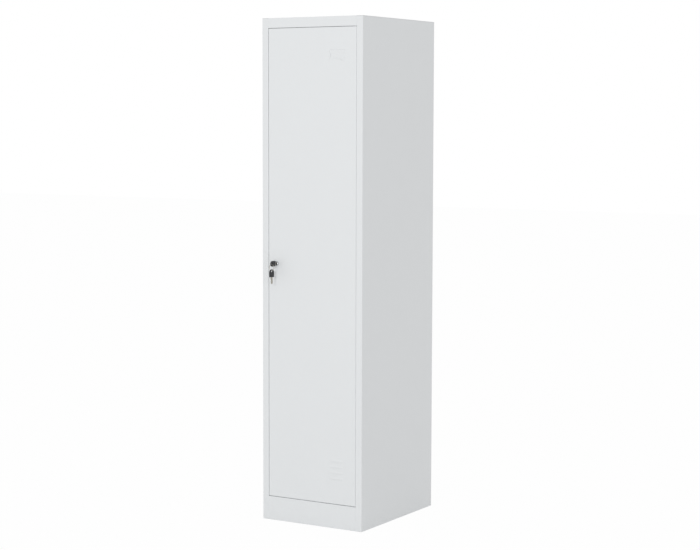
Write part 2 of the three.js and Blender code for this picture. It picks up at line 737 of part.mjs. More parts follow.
// The label holder's recess, and its tabs, which a card slips behind.
function pressLabelHolder(panel) {
  const left = LABEL_X - LABEL_WIDTH / 2;
  const right = LABEL_X + LABEL_WIDTH / 2;
  const foot = LABEL_Z - LABEL_HEIGHT / 2;
  const head = LABEL_Z + LABEL_HEIGHT / 2;
  const tray = box([left - SHEET, 0, foot - SHEET], [right + SHEET, LABEL_DEPTH + SHEET, head + SHEET]);
  const recess = box([left, -SHEET, foot], [right, LABEL_DEPTH, head]);
  let pressed = panel.add(tray).subtract(recess);
  for (const [edge, inward] of [[left, 1], [right, -1]]) {
    const tab = outline([
      [edge - inward * SHEET, LABEL_Z - SIDE_TAB.root / 2],
      [edge, LABEL_Z - SIDE_TAB.root / 2],
      [edge + inward * SIDE_TAB.reach, LABEL_Z - SIDE_TAB.tip / 2],
      [edge + inward * SIDE_TAB.reach, LABEL_Z + SIDE_TAB.tip / 2],
      [edge, LABEL_Z + SIDE_TAB.root / 2],
      [edge - inward * SHEET, LABEL_Z + SIDE_TAB.root / 2],
    ]);
    pressed = pressed.add(drawnBack(tab, 0, SHEET));
  }
  const footTab = outline([
    [LABEL_X - FOOT_TAB.root / 2, foot - SHEET],
    [LABEL_X + FOOT_TAB.root / 2, foot - SHEET],
    [LABEL_X + FOOT_TAB.root / 2, foot],
    [LABEL_X + FOOT_TAB.tip / 2, foot + FOOT_TAB.reach],
    [LABEL_X - FOOT_TAB.tip / 2, foot + FOOT_TAB.reach],
    [LABEL_X - FOOT_TAB.root / 2, foot],
  ]);
  return pressed.add(drawnBack(footTab, 0, SHEET));
}

// A round bar along Y with a flat on each side, as the lock's body and its hole have.
function flattedRod(radius, y0, y1, x = 0, z = 0) {
  const side = radius - HOUSING_FLAT;
  const bar = rod(radius, [x, y0, z], [x, y1, z]);
  return bar.intersect(box([x - side, y0, z - radius], [x + side, y1, z + radius]));
}

function doorPanel() {
  const slab = (inset, round) => {
    const edge = inset + round;
    const shape = rectangle(DOOR.left + edge, DOOR.right - edge, DOOR.bottom + edge, DOOR.top - edge);
    return drawnBack(shape, inset, DOOR_DEPTH - inset, round);
  };
  const opening = box(
    [DOOR.left + DOOR_LIP, DOOR_DEPTH / 2, DOOR.bottom + DOOR_LIP],
    [DOOR.right - DOOR_LIP, DOOR_DEPTH + SHEET, DOOR.top - DOOR_LIP],
  );
  const pan = slab(0, DOOR_BEND).subtract(slab(SHEET, DOOR_BEND - SHEET)).subtract(opening);
  const lockHole = flattedRod(HOUSING_RADIUS + SEAM, -SHEET, 2 * SHEET, LOCK_X, LOCK_HEIGHT);
  const pivots = [DOOR.bottom, DOOR.top].map((z) =>
    rod(PIN_HOLE, [HINGE_X, HINGE_Y, z - 2 * SHEET], [HINGE_X, HINGE_Y, z + 2 * SHEET]),
  );
  return pressLouvres(pressLabelHolder(pan))
    .subtract(lockHole)
    .subtract(pivots[0])
    .subtract(pivots[1]);
}

function doorStiffener() {
  const near = SHEET + SEAM + SHEET / 2;
  const far = near + STIFFENER_DEPTH;
  const web = STIFFENER_WIDTH / 2;
  const edge = web + STIFFENER_FLANGE;
  const section = folded([[-edge, near], [-web, near], [-web, far], [web, far], [web, near], [edge, near]]);
  return drawnUp(section, DOOR.bottom + STIFFENER_END_GAP, DOOR.top - STIFFENER_END_GAP);
}

// Lock, drawn about its own axis with Y = 0 at the face of the door

function lockHousing() {
  const bezel = HOUSING_RADIUS + BEZEL_RIM;
  const dome = turnedAboutY([
    [0, -LOCK_FACE],
    [bezel - LOCK_DOME, -LOCK_FACE],
    [bezel - LOCK_DOME * 0.3, LOCK_DOME * 0.3 - LOCK_FACE],
    [bezel, LOCK_DOME - LOCK_FACE],
    [bezel, -SEAM],
    [0, -SEAM],
  ]);
  const body = flattedRod(HOUSING_RADIUS, -2 * SEAM, HOUSING_BACK);
  const bore = rod(HOUSING_BORE, [0, -LOCK_FACE - SEAM, 0], [0, HOUSING_BACK + SEAM, 0]);
  return dome.add(body).subtract(bore);
}

function lockNut() {
  const front = SHEET + SEAM;
  const hole = HOUSING_RADIUS + SEAM;
  const back = front + NUT_THICKNESS;
  const corner = (hole + NUT_RIM) / Math.cos(Math.PI / 6);
  return rod(corner, [0, front, 0], [0, back, 0], 6).subtract(rod(hole, [0, 0, 0], [0, back + SEAM, 0]));
}

function lockPlug() {
  const face = PLUG_SETBACK - LOCK_FACE;
  const keyway = BLADE_LENGTH - KEY_STANDOFF - LOCK_FACE + SEAM;
  const slot = BLADE_THICKNESS / 2 + SEAM;
  const height = BLADE_WIDTH / 2 + SEAM;
  const tail = TAIL_SIZE / 2;
  return rod(PLUG_RADIUS, [0, face, 0], [0, PLUG_BACK, 0])
    .add(box([-tail, PLUG_BACK - PLUG_SHOULDER, -tail], [tail, CAM_BACK - SEAM, tail]))
    .subtract(box([-slot, -LOCK_FACE, -height], [slot, keyway, height]))
    .subtract(rod(HOLE_RADIUS, [0, WASHER_BACK - SCREW_LENGTH, 0], [0, CAM_BACK, 0]));
}

// The cam hangs down when the door is free and turns behind the stop to lock it.
function lockCam() {
  const end = CAM_WIDTH / 2;
  const shape = new THREE.Shape([
    ...arc(0, 0, end, 0, Math.PI, ROUND_SIDES / 2),
    ...arc(0, end - CAM_REACH, end, Math.PI, 2 * Math.PI, ROUND_SIDES / 2),
  ]);
  const hole = TAIL_SIZE / 2 + SEAM;
  const square = box([-hole, 0, -hole], [hole, CAM_BACK + SEAM, hole]);
  return drawnBack(shape, CAM_FRONT, CAM_BACK).subtract(square);
}

function camWasher() {
  const front = CAM_BACK + SEAM;
  const rim = TAIL_SIZE / 2 + SEAM + WASHER_RIM;
  return rod(rim, [0, front, 0], [0, WASHER_BACK, 0]).subtract(rod(HOLE_RADIUS, [0, 0, 0], [0, DEPTH, 0]));
}

// Keys, drawn in Y and Z about the ring hole, with the head towards -Y and the blade towards +Y

const headBase = KEY_HEAD_LENGTH - KEY_HOLE_FROM_END;

function alongX(shape, thickness, round = 0) {
  const geometry = new THREE.ExtrudeGeometry(shape, {
    depth: thickness - 2 * round,
    bevelEnabled: round > 0,
    bevelThickness: round,
    bevelSize: round,
    bevelSegments: BEND_STEPS,
  });
  geometry.applyMatrix4(new THREE.Matrix4().makeBasis(...ACROSS));
  geometry.translate(round - thickness / 2, 0, 0);
  return solid(geometry);
}

function keyHead() {
  const radius = KEY_HEAD_WIDTH / 2 - KEY_HEAD_ROUND;
  const centre = KEY_HEAD_WIDTH / 2 - KEY_HOLE_FROM_END;
  const base = headBase - KEY_HEAD_ROUND;
  const shape = new THREE.Shape([
    ...arc(centre, 0, radius, Math.PI / 2, 1.5 * Math.PI, ROUND_SIDES / 3),
    new THREE.Vector2(base, -radius),
    new THREE.Vector2(base, radius),
  ]);
  shape.holes.push(new THREE.Path(circle(KEY_HOLE_RADIUS + KEY_HEAD_ROUND)));
  const slot = BLADE_THICKNESS / 2 + SEAM;
  const height = BLADE_WIDTH / 2 + SEAM;
  const tang = box([-slot, headBase - KEY_TANG - SEAM, -height], [slot, headBase + SEAM, height]);
  return alongX(shape, KEY_HEAD_THICKNESS, KEY_HEAD_ROUND).subtract(tang);
}

function keyBlade() {
  const edge = BLADE_WIDTH / 2;
  const tip = headBase + BLADE_LENGTH;
  const pitch = (BLADE_LENGTH - BLADE_NECK - BLADE_TIP) / BLADE_CUTS.length;
  const cuts = BLADE_CUTS.flatMap((depth, i) => {
    const start = headBase + BLADE_NECK + i * pitch;
    return [
      [start, -edge],
      [start + pitch * 0.35, depth - edge],
      [start + pitch * 0.65, depth - edge],
    ];
  });
  return alongX(
    outline([
      [headBase - KEY_TANG, -edge],
      ...cuts,
      [tip - BLADE_TIP, -edge],
      [tip, BLADE_TIP - edge],
      [tip, edge - BLADE_TIP],
      [tip - BLADE_TIP, edge],
      [headBase - KEY_TANG, edge],
    ]),
    BLADE_THICKNESS,
  );
}

function keyRing() {
  const geometry = new THREE.TorusGeometry(RING_RADIUS, WIRE_RADIUS, WIRE_SIDES, RING_STEPS);
  geometry.rotateX(Math.PI / 2);
  return solid(geometry);
}

// Assembly

function put(group, name, made, finish, place = [0, 0, 0], turn = [0, 0, 0]) {
  const mesh = new THREE.Mesh(geometryOf(made), new THREE.MeshStandardMaterial(finish));
  mesh.name = name;
  mesh.position.set(...place);
  mesh.rotation.set(...turn);
  group.add(mesh);
}

function groupAt(parent, place = [0, 0, 0], turn = [0, 0, 0]) {
  const group = new THREE.Group();
  group.position.set(...place);
  group.rotation.set(...turn);
  parent.add(group);
  return group;
}

const QUARTER = Math.PI / 2;
const OVER = [Math.PI, 0, 0];

function addCarcass(group) {
  for (const [word, side] of [["left", -1], ["right", 1]]) {
    put(group, `${word}_side_panel`, sidePanel(side), PAINT);
    put(group, `${word}_stile`, stile(side), PAINT);
    put(group, `${word}_rear_post`, rearPost(side), PAINT);
  }
  put(group, "left_door_stop", lockSideStop(), PAINT);
  put(group, "right_door_stop", doorStop(1), PAINT);
  put(group, "back_panel", backPanel(), PAINT);
  put(group, "top_panel", topPanel(), PAINT);
  put(group, "plinth", plinth(), PAINT);
  put(group, "floor_panel", floorPanel(), PAINT);
  const screwX = STILE_EDGE - SEAM - SHEET - SEAM;
  for (const [word, side] of [["left", -1], ["right", 1]]) {
    backScrewHeights.forEach((z, i) => {
      const place = [side * screwX, backScrewY, z];
      put(group, `back_screw_${word}_${i + 1}`, screw(SCREW_LENGTH), ZINC, place, [0, -side * QUARTER, 0]);
    });
  }
  for (const [word, z] of Object.entries(bufferHeights)) {
    put(group, `${word}_door_buffer`, buffer(), RUBBER, [bufferX, STOP_FACE, z], [QUARTER, 0, 0]);
  }
}

function addShelf(group) {
  put(group, "shelf", shelf(), PAINT);
  const railY = DEPTH / 2;
  const socketX = HALF - SHEET - SEAM;
  for (const [word, side] of [["left", -1], ["right", 1]]) {
    put(group, `${word}_shelf_runner`, shelfRunner(side), PAINT);
    const turn = side < 0 ? [0, 0, 0] : [0, 0, Math.PI];
    put(group, `${word}_rail_socket`, railSocket(), ZINC, [side * socketX, railY, RAIL_Z], turn);
  }
  shelfScrewPlaces().forEach(([x, y], i) => {
    const name = `shelf_screw_${x < 0 ? "left" : "right"}_${(i % SHELF_SCREWS) + 1}`;
    put(group, name, screw(SCREW_LENGTH), ZINC, [x, y, SHELF_Z + SEAM]);
  });
  put(group, "coat_rail", coatRail(), CHROME, [0, railY, RAIL_Z]);
}

function addHinges(frame, door) {
  for (const [word, up, gap] of [["upper", 1, TOP_GAP], ["lower", -1, BOTTOM_GAP]]) {
    const turn = up > 0 ? [0, 0, 0] : OVER;
    const pivot = (z) => [HINGE_X, HINGE_Y, z];
    const seat = (z) => pivot(up > 0 ? z : z + PLATE_THICKNESS);
    const head = frameHinge[word] + up * PLATE_THICKNESS;
    const framePlate = hingePlate(BEND + SEAM, STILE_EDGE - SEAM, PIN_HOLE);
    const doorPlate = hingePlate(SHEET + SEAM, DOOR.right - DOOR_BEND - SEAM, BUSH_HOLE);
    put(frame, `${word}_frame_hinge_plate`, framePlate, PAINT, seat(head));
    put(frame, `${word}_hinge_pin`, hingePin(gap), ZINC, pivot(head + up * SEAM), turn);
    put(door, `${word}_door_hinge_plate`, doorPlate, PAINT, seat(doorHinge[word]));
    put(door, `${word}_hinge_bush`, hingeBush(), NYLON, pivot(doorHinge[word]), turn);
  }
}

function addLock(group) {
  put(group, "lock_housing", lockHousing(), CHROME);
  put(group, "lock_nut", lockNut(), ZINC);
  put(group, "lock_plug", lockPlug(), CHROME);
  put(group, "lock_cam", lockCam(), ZINC);
  put(group, "cam_washer", camWasher(), ZINC);
  put(group, "cam_screw", screw(SCREW_LENGTH), ZINC, [0, WASHER_BACK + SEAM, 0], [-QUARTER, 0, 0]);
}

function addKey(group, word) {
  put(group, `${word}_key_head`, keyHead(), BLACK_PLASTIC);
  put(group, `${word}_key_blade`, keyBlade(), NICKEL);
}

function addKeys(group) {
  const ringZ = -RING_SEAT - RING_RADIUS;
  const spareZ = ringZ - RING_RADIUS - RING_SEAT;
  addKey(groupAt(group, [0, -KEY_HOLE_Y, 0]), "lock");
  const hanging = groupAt(group, [0, -KEY_HOLE_Y, spareZ], [0, 0, SPARE_TURN]);
  addKey(groupAt(hanging, [0, 0, 0], [-QUARTER, 0, 0]), "spare");
  put(group, "key_ring", keyRing(), NICKEL, [0, -KEY_HOLE_Y, ringZ]);
}

const locker = new THREE.Group();
const carcass = groupAt(locker, [0, (FRONT_REACH - DEPTH) / 2, 0]);
addCarcass(carcass);
addShelf(carcass);
const door = groupAt(carcass);
addHinges(carcass, door);
put(door, "door_panel", doorPanel(), PAINT);
put(door, "door_stiffener", doorStiffener(), PAINT);
const lock = groupAt(door, [LOCK_X, 0, LOCK_HEIGHT]);
addLock(lock);
addKeys(lock);

export default locker;
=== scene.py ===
import math

import bmesh
import bpy
from mathutils import Matrix, Vector


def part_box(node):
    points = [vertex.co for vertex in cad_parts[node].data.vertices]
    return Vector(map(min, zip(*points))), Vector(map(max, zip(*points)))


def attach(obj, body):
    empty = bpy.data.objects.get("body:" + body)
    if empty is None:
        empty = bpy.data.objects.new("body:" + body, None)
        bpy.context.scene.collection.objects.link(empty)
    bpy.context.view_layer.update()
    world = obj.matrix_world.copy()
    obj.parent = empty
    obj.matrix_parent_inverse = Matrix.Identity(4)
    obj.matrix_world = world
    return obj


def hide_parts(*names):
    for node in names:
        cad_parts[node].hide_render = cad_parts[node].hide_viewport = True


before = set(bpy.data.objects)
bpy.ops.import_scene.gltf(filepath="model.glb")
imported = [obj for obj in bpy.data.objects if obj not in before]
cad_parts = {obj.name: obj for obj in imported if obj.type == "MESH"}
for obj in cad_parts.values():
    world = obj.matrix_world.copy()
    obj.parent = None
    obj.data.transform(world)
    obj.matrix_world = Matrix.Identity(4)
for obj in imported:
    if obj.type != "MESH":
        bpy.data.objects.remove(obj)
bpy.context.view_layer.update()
mm = 0.001
scene = bpy.context.scene
scene.view_settings.view_transform = "Standard"

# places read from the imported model
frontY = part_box("plinth")[0].y  # face of the stiles, the rails and the door
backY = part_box("back_panel")[1].y
doorLow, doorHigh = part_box("door_panel")
lockLow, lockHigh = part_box("lock_housing")
lockX = (lockLow.x + lockHigh.x) / 2
lockZ = (lockLow.z + lockHigh.z) / 2


# camera, fitted to the edges of the cabinet
studioCamera = {
    "azimuth": 31.164,
    "elevation": 5.098,
    "roll": 0.138,
    "distance": 6.4584,
    "focalPixels": 1768.5,
    "imageWidth": 700,
    "sensorWidth": 36,
    "across": 0.0029,
    "height": 0.878,
}


def placeCamera(s):
    azimuth = math.radians(s["azimuth"])
    elevation = math.radians(s["elevation"])
    back = Vector((math.sin(azimuth), -math.cos(azimuth), math.tan(elevation))).normalized()
    target = Vector((s["across"] * math.cos(azimuth), s["across"] * math.sin(azimuth), s["height"]))
    target.y += (frontY + backY) / 2
    lens = bpy.data.cameras.new("studioCamera")
    lens.sensor_width = s["sensorWidth"]
    lens.lens = s["focalPixels"] * s["sensorWidth"] / s["imageWidth"]
    camera = bpy.data.objects.new("studioCamera", lens)
    turn = back.to_track_quat("Z", "Y").to_matrix().to_4x4()
    roll = Matrix.Rotation(math.radians(s["roll"]), 4, "Z")
    camera.matrix_world = Matrix.Translation(target + back * s["distance"]) @ turn @ roll
    scene.collection.objects.link(camera)
    scene.camera = camera


placeCamera(studioCamera)
print("camera placed")


# node helpers
def setInputs(tree, node, inputs):  # each is a plain value or the output of another node
    for socket, value in inputs.items():
        if isinstance(value, (int, float, str, tuple)):
            node.inputs[socket].default_value = value
        else:
            tree.links.new(value, node.inputs[socket])


def addNode(tree, kind, inputs, **settings):
    node = tree.nodes.new(kind)
    for label, value in settings.items():
        setattr(node, label, value)
    setInputs(tree, node, inputs)
    return node


def mathNode(tree, operation, *values):
    return addNode(tree, "ShaderNodeMath", dict(enumerate(values)), operation=operation).outputs[0]


def noiseNode(tree, vector, scale, detail, roughness=0.5):
    inputs = {"Vector": vector, "Scale": scale, "Detail": detail, "Roughness": roughness}
    return addNode(tree, "ShaderNodeTexNoise", inputs).outputs["Fac"]


def spreadNode(tree, value, middle, spread):  # a 0 to 1 value, spread evenly about a middle
    centred = mathNode(tree, "SUBTRACT", value, 0.5)
    doubled = mathNode(tree, "MULTIPLY", centred, 2.0)
    return mathNode(tree, "ADD", middle, mathNode(tree, "MULTIPLY", doubled, spread))


def tintNode(tree, colour, value):  # a colour times a value
    return addNode(tree, "ShaderNodeVectorMath", {0: colour, "Scale": value}, operation="SCALE").outputs[0]


def blendNode(tree, factor, first, second):
    return addNode(tree, "ShaderNodeMix", {0: factor, 6: first, 7: second}, data_type="RGBA").outputs[2]


def shaderGroup(name, inputs, outputs):
    group = bpy.data.node_groups.new(name, "ShaderNodeTree")
    for direction, sockets in (("INPUT", inputs), ("OUTPUT", outputs)):
        for label, kind in sockets.items():
            group.interface.new_socket(label, in_out=direction, socket_type="NodeSocket" + kind)
    given = addNode(group, "NodeGroupInput", {}).outputs
    place = addNode(group, "ShaderNodeTexCoord", {}).outputs["Object"]
    return group, given, addNode(group, "NodeGroupOutput", {}), place


def finishGroup(name, grain):  # a finish with a grain given as one value or as a vector
    return shaderGroup(
        name,
        {"Colour": "Color", "Contrast": "Float", "Roughness": "Float", "Spread": "Float", "Grain": grain},
        {"Colour": "Color", "Roughness": "Float", "Height": "Float"},
    )


def putOut(group, given, result, shade, gloss, height):  # shade varies the colour, gloss the roughness
    setInputs(group, result, {
        "Colour": tintNode(group, given["Colour"], spreadNode(group, shade, 1.0, given["Contrast"])),
        "Roughness": spreadNode(group, gloss, given["Roughness"], given["Spread"]),
        "Height": height,
    })
    return group


# sprayed powder: orange peel, a faint cloud in the colour and in the gloss
# a noise here and below is its scale, its detail and, where it isn't 0.5, its roughness
powderNoise = {"detail": 1.0, "fine": 3.7, "fineShare": 0.25, "cloud": (4.3, 3.0), "sheen": (23.0, 3.0)}


def powderPeelGroup(s):
    group, given, result, place = finishGroup("powderPeel", "Float")
    scale = mathNode(group, "DIVIDE", 1.0, given["Grain"])
    coarse = noiseNode(group, place, scale, s["detail"])
    fine = noiseNode(group, place, mathNode(group, "MULTIPLY", scale, s["fine"]), s["detail"])
    height = mathNode(group, "ADD", coarse, mathNode(group, "MULTIPLY", fine, s["fineShare"]))
    cloud, sheen = noiseNode(group, place, *s["cloud"]), noiseNode(group, place, *s["sheen"])
    return putOut(group, given, result, cloud, sheen, height)


# drawn or brushed metal: streaks along one axis
drawnNoise = {"streak": (1.0, 4.0, 0.6), "marks": (170.0, 3.0)}


def drawnGrainGroup(s):
    group, given, result, place = finishGroup("drawnGrain", "Vector")
    stretch = addNode(group, "ShaderNodeVectorMath", {0: place, 1: given["Grain"]}, operation="MULTIPLY")
    streak = noiseNode(group, stretch.outputs[0], *s["streak"])
    return putOut(group, given, result, streak, noiseNode(group, place, *s["marks"]), streak)


# moulded plastic and rubber: fine spark-eroded grain, with rubbed patches
mouldNoise = {"patches": (140.0, 3.0)}


def mouldGrainGroup(s):
    group, given, result, place = finishGroup("mouldGrain", "Float")
    scale = mathNode(group, "DIVIDE", 1.0, given["Grain"])
    pits = addNode(group, "ShaderNodeTexVoronoi", {"Vector": place, "Scale": scale}).outputs["Distance"]
    patches = noiseNode(group, place, *s["patches"])
    return putOut(group, given, result, patches, patches, pits)


# dust that settles on level faces, and scuffs close to the floor
dustFilm = {
    "levelFrom": 0.6, "specks": (60.0, 6.0, 0.7), "streaks": (130.0, 5.0, 0.65), "dulling": 0.6,
    "dustColour": (0.62, 0.6, 0.56, 1), "scuffColour": (0.3, 0.29, 0.28, 1),
}


def floorDustGroup(s):
    group, given, result, place = shaderGroup(
        "floorDust",
        {"Colour": "Color", "Roughness": "Float", "Dust": "Float", "Scuff": "Float", "Scuff Height": "Float"},
        {"Colour": "Color", "Roughness": "Float"},
    )
    normal = addNode(group, "ShaderNodeNewGeometry", {}).outputs["Normal"]
    facing = addNode(group, "ShaderNodeSeparateXYZ", {0: normal}).outputs["Z"]
    level = mathNode(group, "MAXIMUM", mathNode(group, "SUBTRACT", facing, s["levelFrom"]), 0.0)
    settled = mathNode(group, "MULTIPLY", level, noiseNode(group, place, *s["specks"]))
    settled = mathNode(group, "MULTIPLY", settled, given["Dust"])
    height = addNode(group, "ShaderNodeSeparateXYZ", {0: place}).outputs["Z"]
    near = mathNode(group, "SUBTRACT", 1.0, mathNode(group, "DIVIDE", height, given["Scuff Height"]))
    near = mathNode(group, "MAXIMUM", near, 0.0)
    scuffed = mathNode(group, "MULTIPLY", near, noiseNode(group, place, *s["streaks"]))
    scuffed = mathNode(group, "MULTIPLY", scuffed, given["Scuff"])
    dusty = blendNode(group, settled, given["Colour"], s["dustColour"])
    dulled = mathNode(group, "MULTIPLY", mathNode(group, "ADD", settled, scuffed), s["dulling"])
    setInputs(group, result, {
        "Colour": blendNode(group, scuffed, dusty, s["scuffColour"]),
        "Roughness": mathNode(group, "ADD", given["Roughness"], dulled),
    })
    return group


powderPeel = powderPeelGroup(powderNoise)
drawnGrain = drawnGrainGroup(drawnNoise)
mouldGrain = mouldGrainGroup(mouldNoise)
floorDust = floorDustGroup(dustFilm)


def finishMaterial(name, group, look, bump, metallic=0.0, specular=0.5, film=None):
    material = bpy.data.materials.new(name)
    material.use_nodes = True
    tree = material.node_tree
    effect = addNode(tree, "ShaderNodeGroup", look, node_tree=group).outputs
    surface = {"Colour": effect["Colour"], "Roughness": effect["Roughness"]}
    if film:
        surface = addNode(tree, "ShaderNodeGroup", {**film, **surface}, node_tree=floorDust).outputs
    relief = addNode(tree, "ShaderNodeBump", {**bump, "Height": effect["Height"]})
    setInputs(tree, tree.nodes["Principled BSDF"], {
        "Base Color": surface["Colour"], "Roughness": surface["Roughness"], "Metallic": metallic,
        "Specular IOR Level": specular, "Normal": relief.outputs["Normal"],
    })
    return material


def plain(red, green, blue):  # screen values to the shader's linear ones
    return tuple((c / 255 + 0.055) ** 2.4 / 1.055**2.4 for c in (red, green, blue)) + (1.0,)


lockerPaint = finishMaterial(
    "lockerPaint", powderPeel,
    {"Colour": plain(226, 228.2, 229.6), "Grain": 0.0017, "Contrast": 0.008, "Roughness": 0.42, "Spread": 0.05},
    {"Strength": 0.9, "Distance": 0.00028},
    film={"Dust": 0.25, "Scuff": 0.03, "Scuff Height": 0.06},
)
zincPlate = finishMaterial(
    "zincPlate", drawnGrain,
    {"Colour": plain(190, 192, 194), "Grain": (700, 700, 700), "Contrast": 0.1, "Roughness": 0.32, "Spread": 0.08},
    {"Strength": 0.2, "Distance": 0.00002},
    metallic=1.0,
)
chromePlate = finishMaterial(
    "chromePlate", drawnGrain,
    {"Colour": plain(205, 207, 209), "Grain": (30, 900, 900), "Contrast": 0.03, "Roughness": 0.12, "Spread": 0.05},
    {"Strength": 0.05, "Distance": 0.00001},
    metallic=1.0,
)
nickelPlate = finishMaterial(
    "nickelPlate", drawnGrain,
    {"Colour": plain(178, 173, 162), "Grain": (1500, 120, 1500), "Contrast": 0.12, "Roughness": 0.28,
     "Spread": 0.08},
    {"Strength": 0.25, "Distance": 0.00002},
    metallic=1.0,
)
blackPlastic = finishMaterial(
    "blackPlastic", mouldGrain,
    {"Colour": plain(46, 47, 49), "Grain": 0.00035, "Contrast": 0.18, "Roughness": 0.48, "Spread": 0.1},
    {"Strength": 0.4, "Distance": 0.00003},
)
naturalNylon = finishMaterial(
    "naturalNylon", mouldGrain,
    {"Colour": plain(232, 229, 219), "Grain": 0.0005, "Contrast": 0.03, "Roughness": 0.5, "Spread": 0.06},
    {"Strength": 0.25, "Distance": 0.00003},
)
blackRubber = finishMaterial(
    "blackRubber", mouldGrain,
    {"Colour": plain(42, 42, 43), "Grain": 0.0006, "Contrast": 0.25, "Roughness": 0.82, "Spread": 0.08},
    {"Strength": 0.5, "Distance": 0.00005},
    specular=0.3,
)
print("finishes made")


# mesh helpers: edges sharper than cutAngle are cut edges, faces that meet below shadeAngle shade as one
easing = {"cutAngle": 48, "shadeAngle": 42, "flatAngle": 0.5, "merge": 0.001, "segments": 2}


def roundPoints(steps):
    turns = [2 * math.pi * i / steps for i in range(steps)]
    return [(math.cos(t), math.sin(t)) for t in turns]


def quarterTurn(steps):
    return [math.pi / 2 * i / steps for i in range(steps + 1)]


def arcPoints(u, v, radius, start, stop, steps):
    angles = [math.radians(start + (stop - start) * i / steps) for i in range(steps + 1)]
    return [(u + radius * math.cos(a), v + radius * math.sin(a)) for a in angles]


def roundedLoop(low, high, radius, steps):  # corners of a rounded rectangle, anticlockwise in two axes
    (x0, z0), (x1, z1) = low, high
    points = []
    for cx, cz, start in ((x1, z1, 0), (x0, z1, 90), (x0, z0, 180), (x1, z0, 270)):
        cx += -radius if cx == x1 else radius
        cz += -radius if cz == z1 else radius
        points += arcPoints(cx, cz, radius, start, start + 90, steps)
    return points


def uprightRing(bm, points, y):
    return [bm.verts.new((x, y, z)) for x, z in points]


def levelRing(bm, points, z):
    return [bm.verts.new((x, y, z)) for x, y in points]


def bridge(bm, first, second):  # a ring may be a single point
    count = max(len(first), len(second))
    for i in range(count):
        j = (i + 1) % count
        corners = [first[i % len(first)], first[j % len(first)], second[j % len(second)], second[i % len(second)]]
        bm.faces.new(list(dict.fromkeys(corners)))


def bridgeRings(bm, rings):
    for first, second in zip(rings, rings[1:]):
        bridge(bm, first, second)


def closedPrism(bm, first, second):
    bridge(bm, first, second)
    bm.faces.new(first)
    bm.faces.new(second)


def closedEdges(bm, ring):
    pairs = zip(ring, ring[1:] + ring[:1])
    return [bm.edges.get(pair) or bm.edges.new(pair) for pair in pairs]


def faceOutwards(bm):
    bmesh.ops.recalc_face_normals(bm, faces=bm.faces)


def latheShell(profile, steps):  # radius and height in mm, from axis to axis
    bm = bmesh.new()
    rings = []
    for radius, height in profile:
        points = [(radius * mm * x, radius * mm * y) for x, y in roundPoints(steps)] if radius else [(0, 0)]
        rings.append(levelRing(bm, points, height * mm))
    bridgeRings(bm, rings)
    faceOutwards(bm)
    return bm


def shadeByAngle(bm, degrees=easing["shadeAngle"]):
    for face in bm.faces:
        face.smooth = True
    for edge in bm.edges:
        edge.smooth = len(edge.link_faces) == 2 and edge.calc_face_angle() < math.radians(degrees)


def newPiece(name, bm, material):
    mesh = bpy.data.meshes.new(name)
    bm.to_mesh(mesh)
    bm.free()
    mesh.materials.append(material)
    piece = bpy.data.objects.new(name, mesh)
    scene.collection.objects.link(piece)
    return piece


def settle(piece):  # modifiers become plain mesh
    graph = bpy.context.evaluated_depsgraph_get()
    final = piece.evaluated_get(graph)
    mesh = bpy.data.meshes.new_from_object(final, preserve_all_data_layers=True, depsgraph=graph)
    piece.modifiers.clear()
    old = piece.data
    piece.data = mesh
    mesh.name = piece.name
    bpy.data.meshes.remove(old)
    return piece


def evenShading(piece):  # flat faces keep their own normals beside a rounded edge
    normals = piece.modifiers.new("evenShading", "WEIGHTED_NORMAL")
    normals.keep_sharp = True
    normals.weight = 100
    return settle(piece)


def cutAway(piece, cutter):
    cut = piece.modifiers.new("cut", "BOOLEAN")
    cut.object = cutter
    cut.operation = "DIFFERENCE"
    cut.solver = "EXACT"
    settle(piece)
    bpy.data.objects.remove(cutter)


def seat(piece, body, slot, *nodes):
    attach(piece, body)
    if nodes:
        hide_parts(*nodes)


def bevelEdges(bm, edges, width):
    bmesh.ops.bevel(bm, geom=edges, offset=width * mm, offset_type="OFFSET", segments=easing["segments"],
                    profile=0.5, affect="EDGES", clamp_overlap=True)


def easeEdges(bm, width):  # cut edges are rounded off, folds are shaded round
    sharp = math.radians(easing["cutAngle"])
    bevelEdges(bm, [e for e in bm.edges if len(e.link_faces) == 2 and e.calc_face_angle() > sharp], width)
    shadeByAngle(bm)


def easedNode(name, node, material, width):  # the shape of a CAD node with its edges eased
    bm = bmesh.new()
    bm.from_mesh(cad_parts[node].data)
    bmesh.ops.remove_doubles(bm, verts=bm.verts, dist=easing["merge"] * mm)
    flat = math.radians(easing["flatAngle"])
    bmesh.ops.dissolve_limit(bm, angle_limit=flat, verts=bm.verts, edges=bm.edges)
    easeEdges(bm, width)
    return evenShading(newPiece(name, bm, material))


# geometry nodes helpers
def geometryTree(name, inputs):
    tree = bpy.data.node_groups.new(name, "GeometryNodeTree")
    tree.is_modifier = True
    tree.interface.new_socket("Geometry", in_out="OUTPUT", socket_type="NodeSocketGeometry")
    for label, kind in inputs.items():
        tree.interface.new_socket(label, in_out="INPUT", socket_type="NodeSocket" + kind)
    return tree, addNode(tree, "NodeGroupInput", {}).outputs, addNode(tree, "NodeGroupOutput", {})


def finishTree(tree, geometry, material, result):  # instances become real, with their finish on
    real = addNode(tree, "GeometryNodeRealizeInstances", {0: geometry})
    coat = addNode(tree, "GeometryNodeSetMaterial", {"Geometry": real.outputs[0], "Material": material})
    setInputs(tree, result, {0: coat.outputs[0]})
    return tree


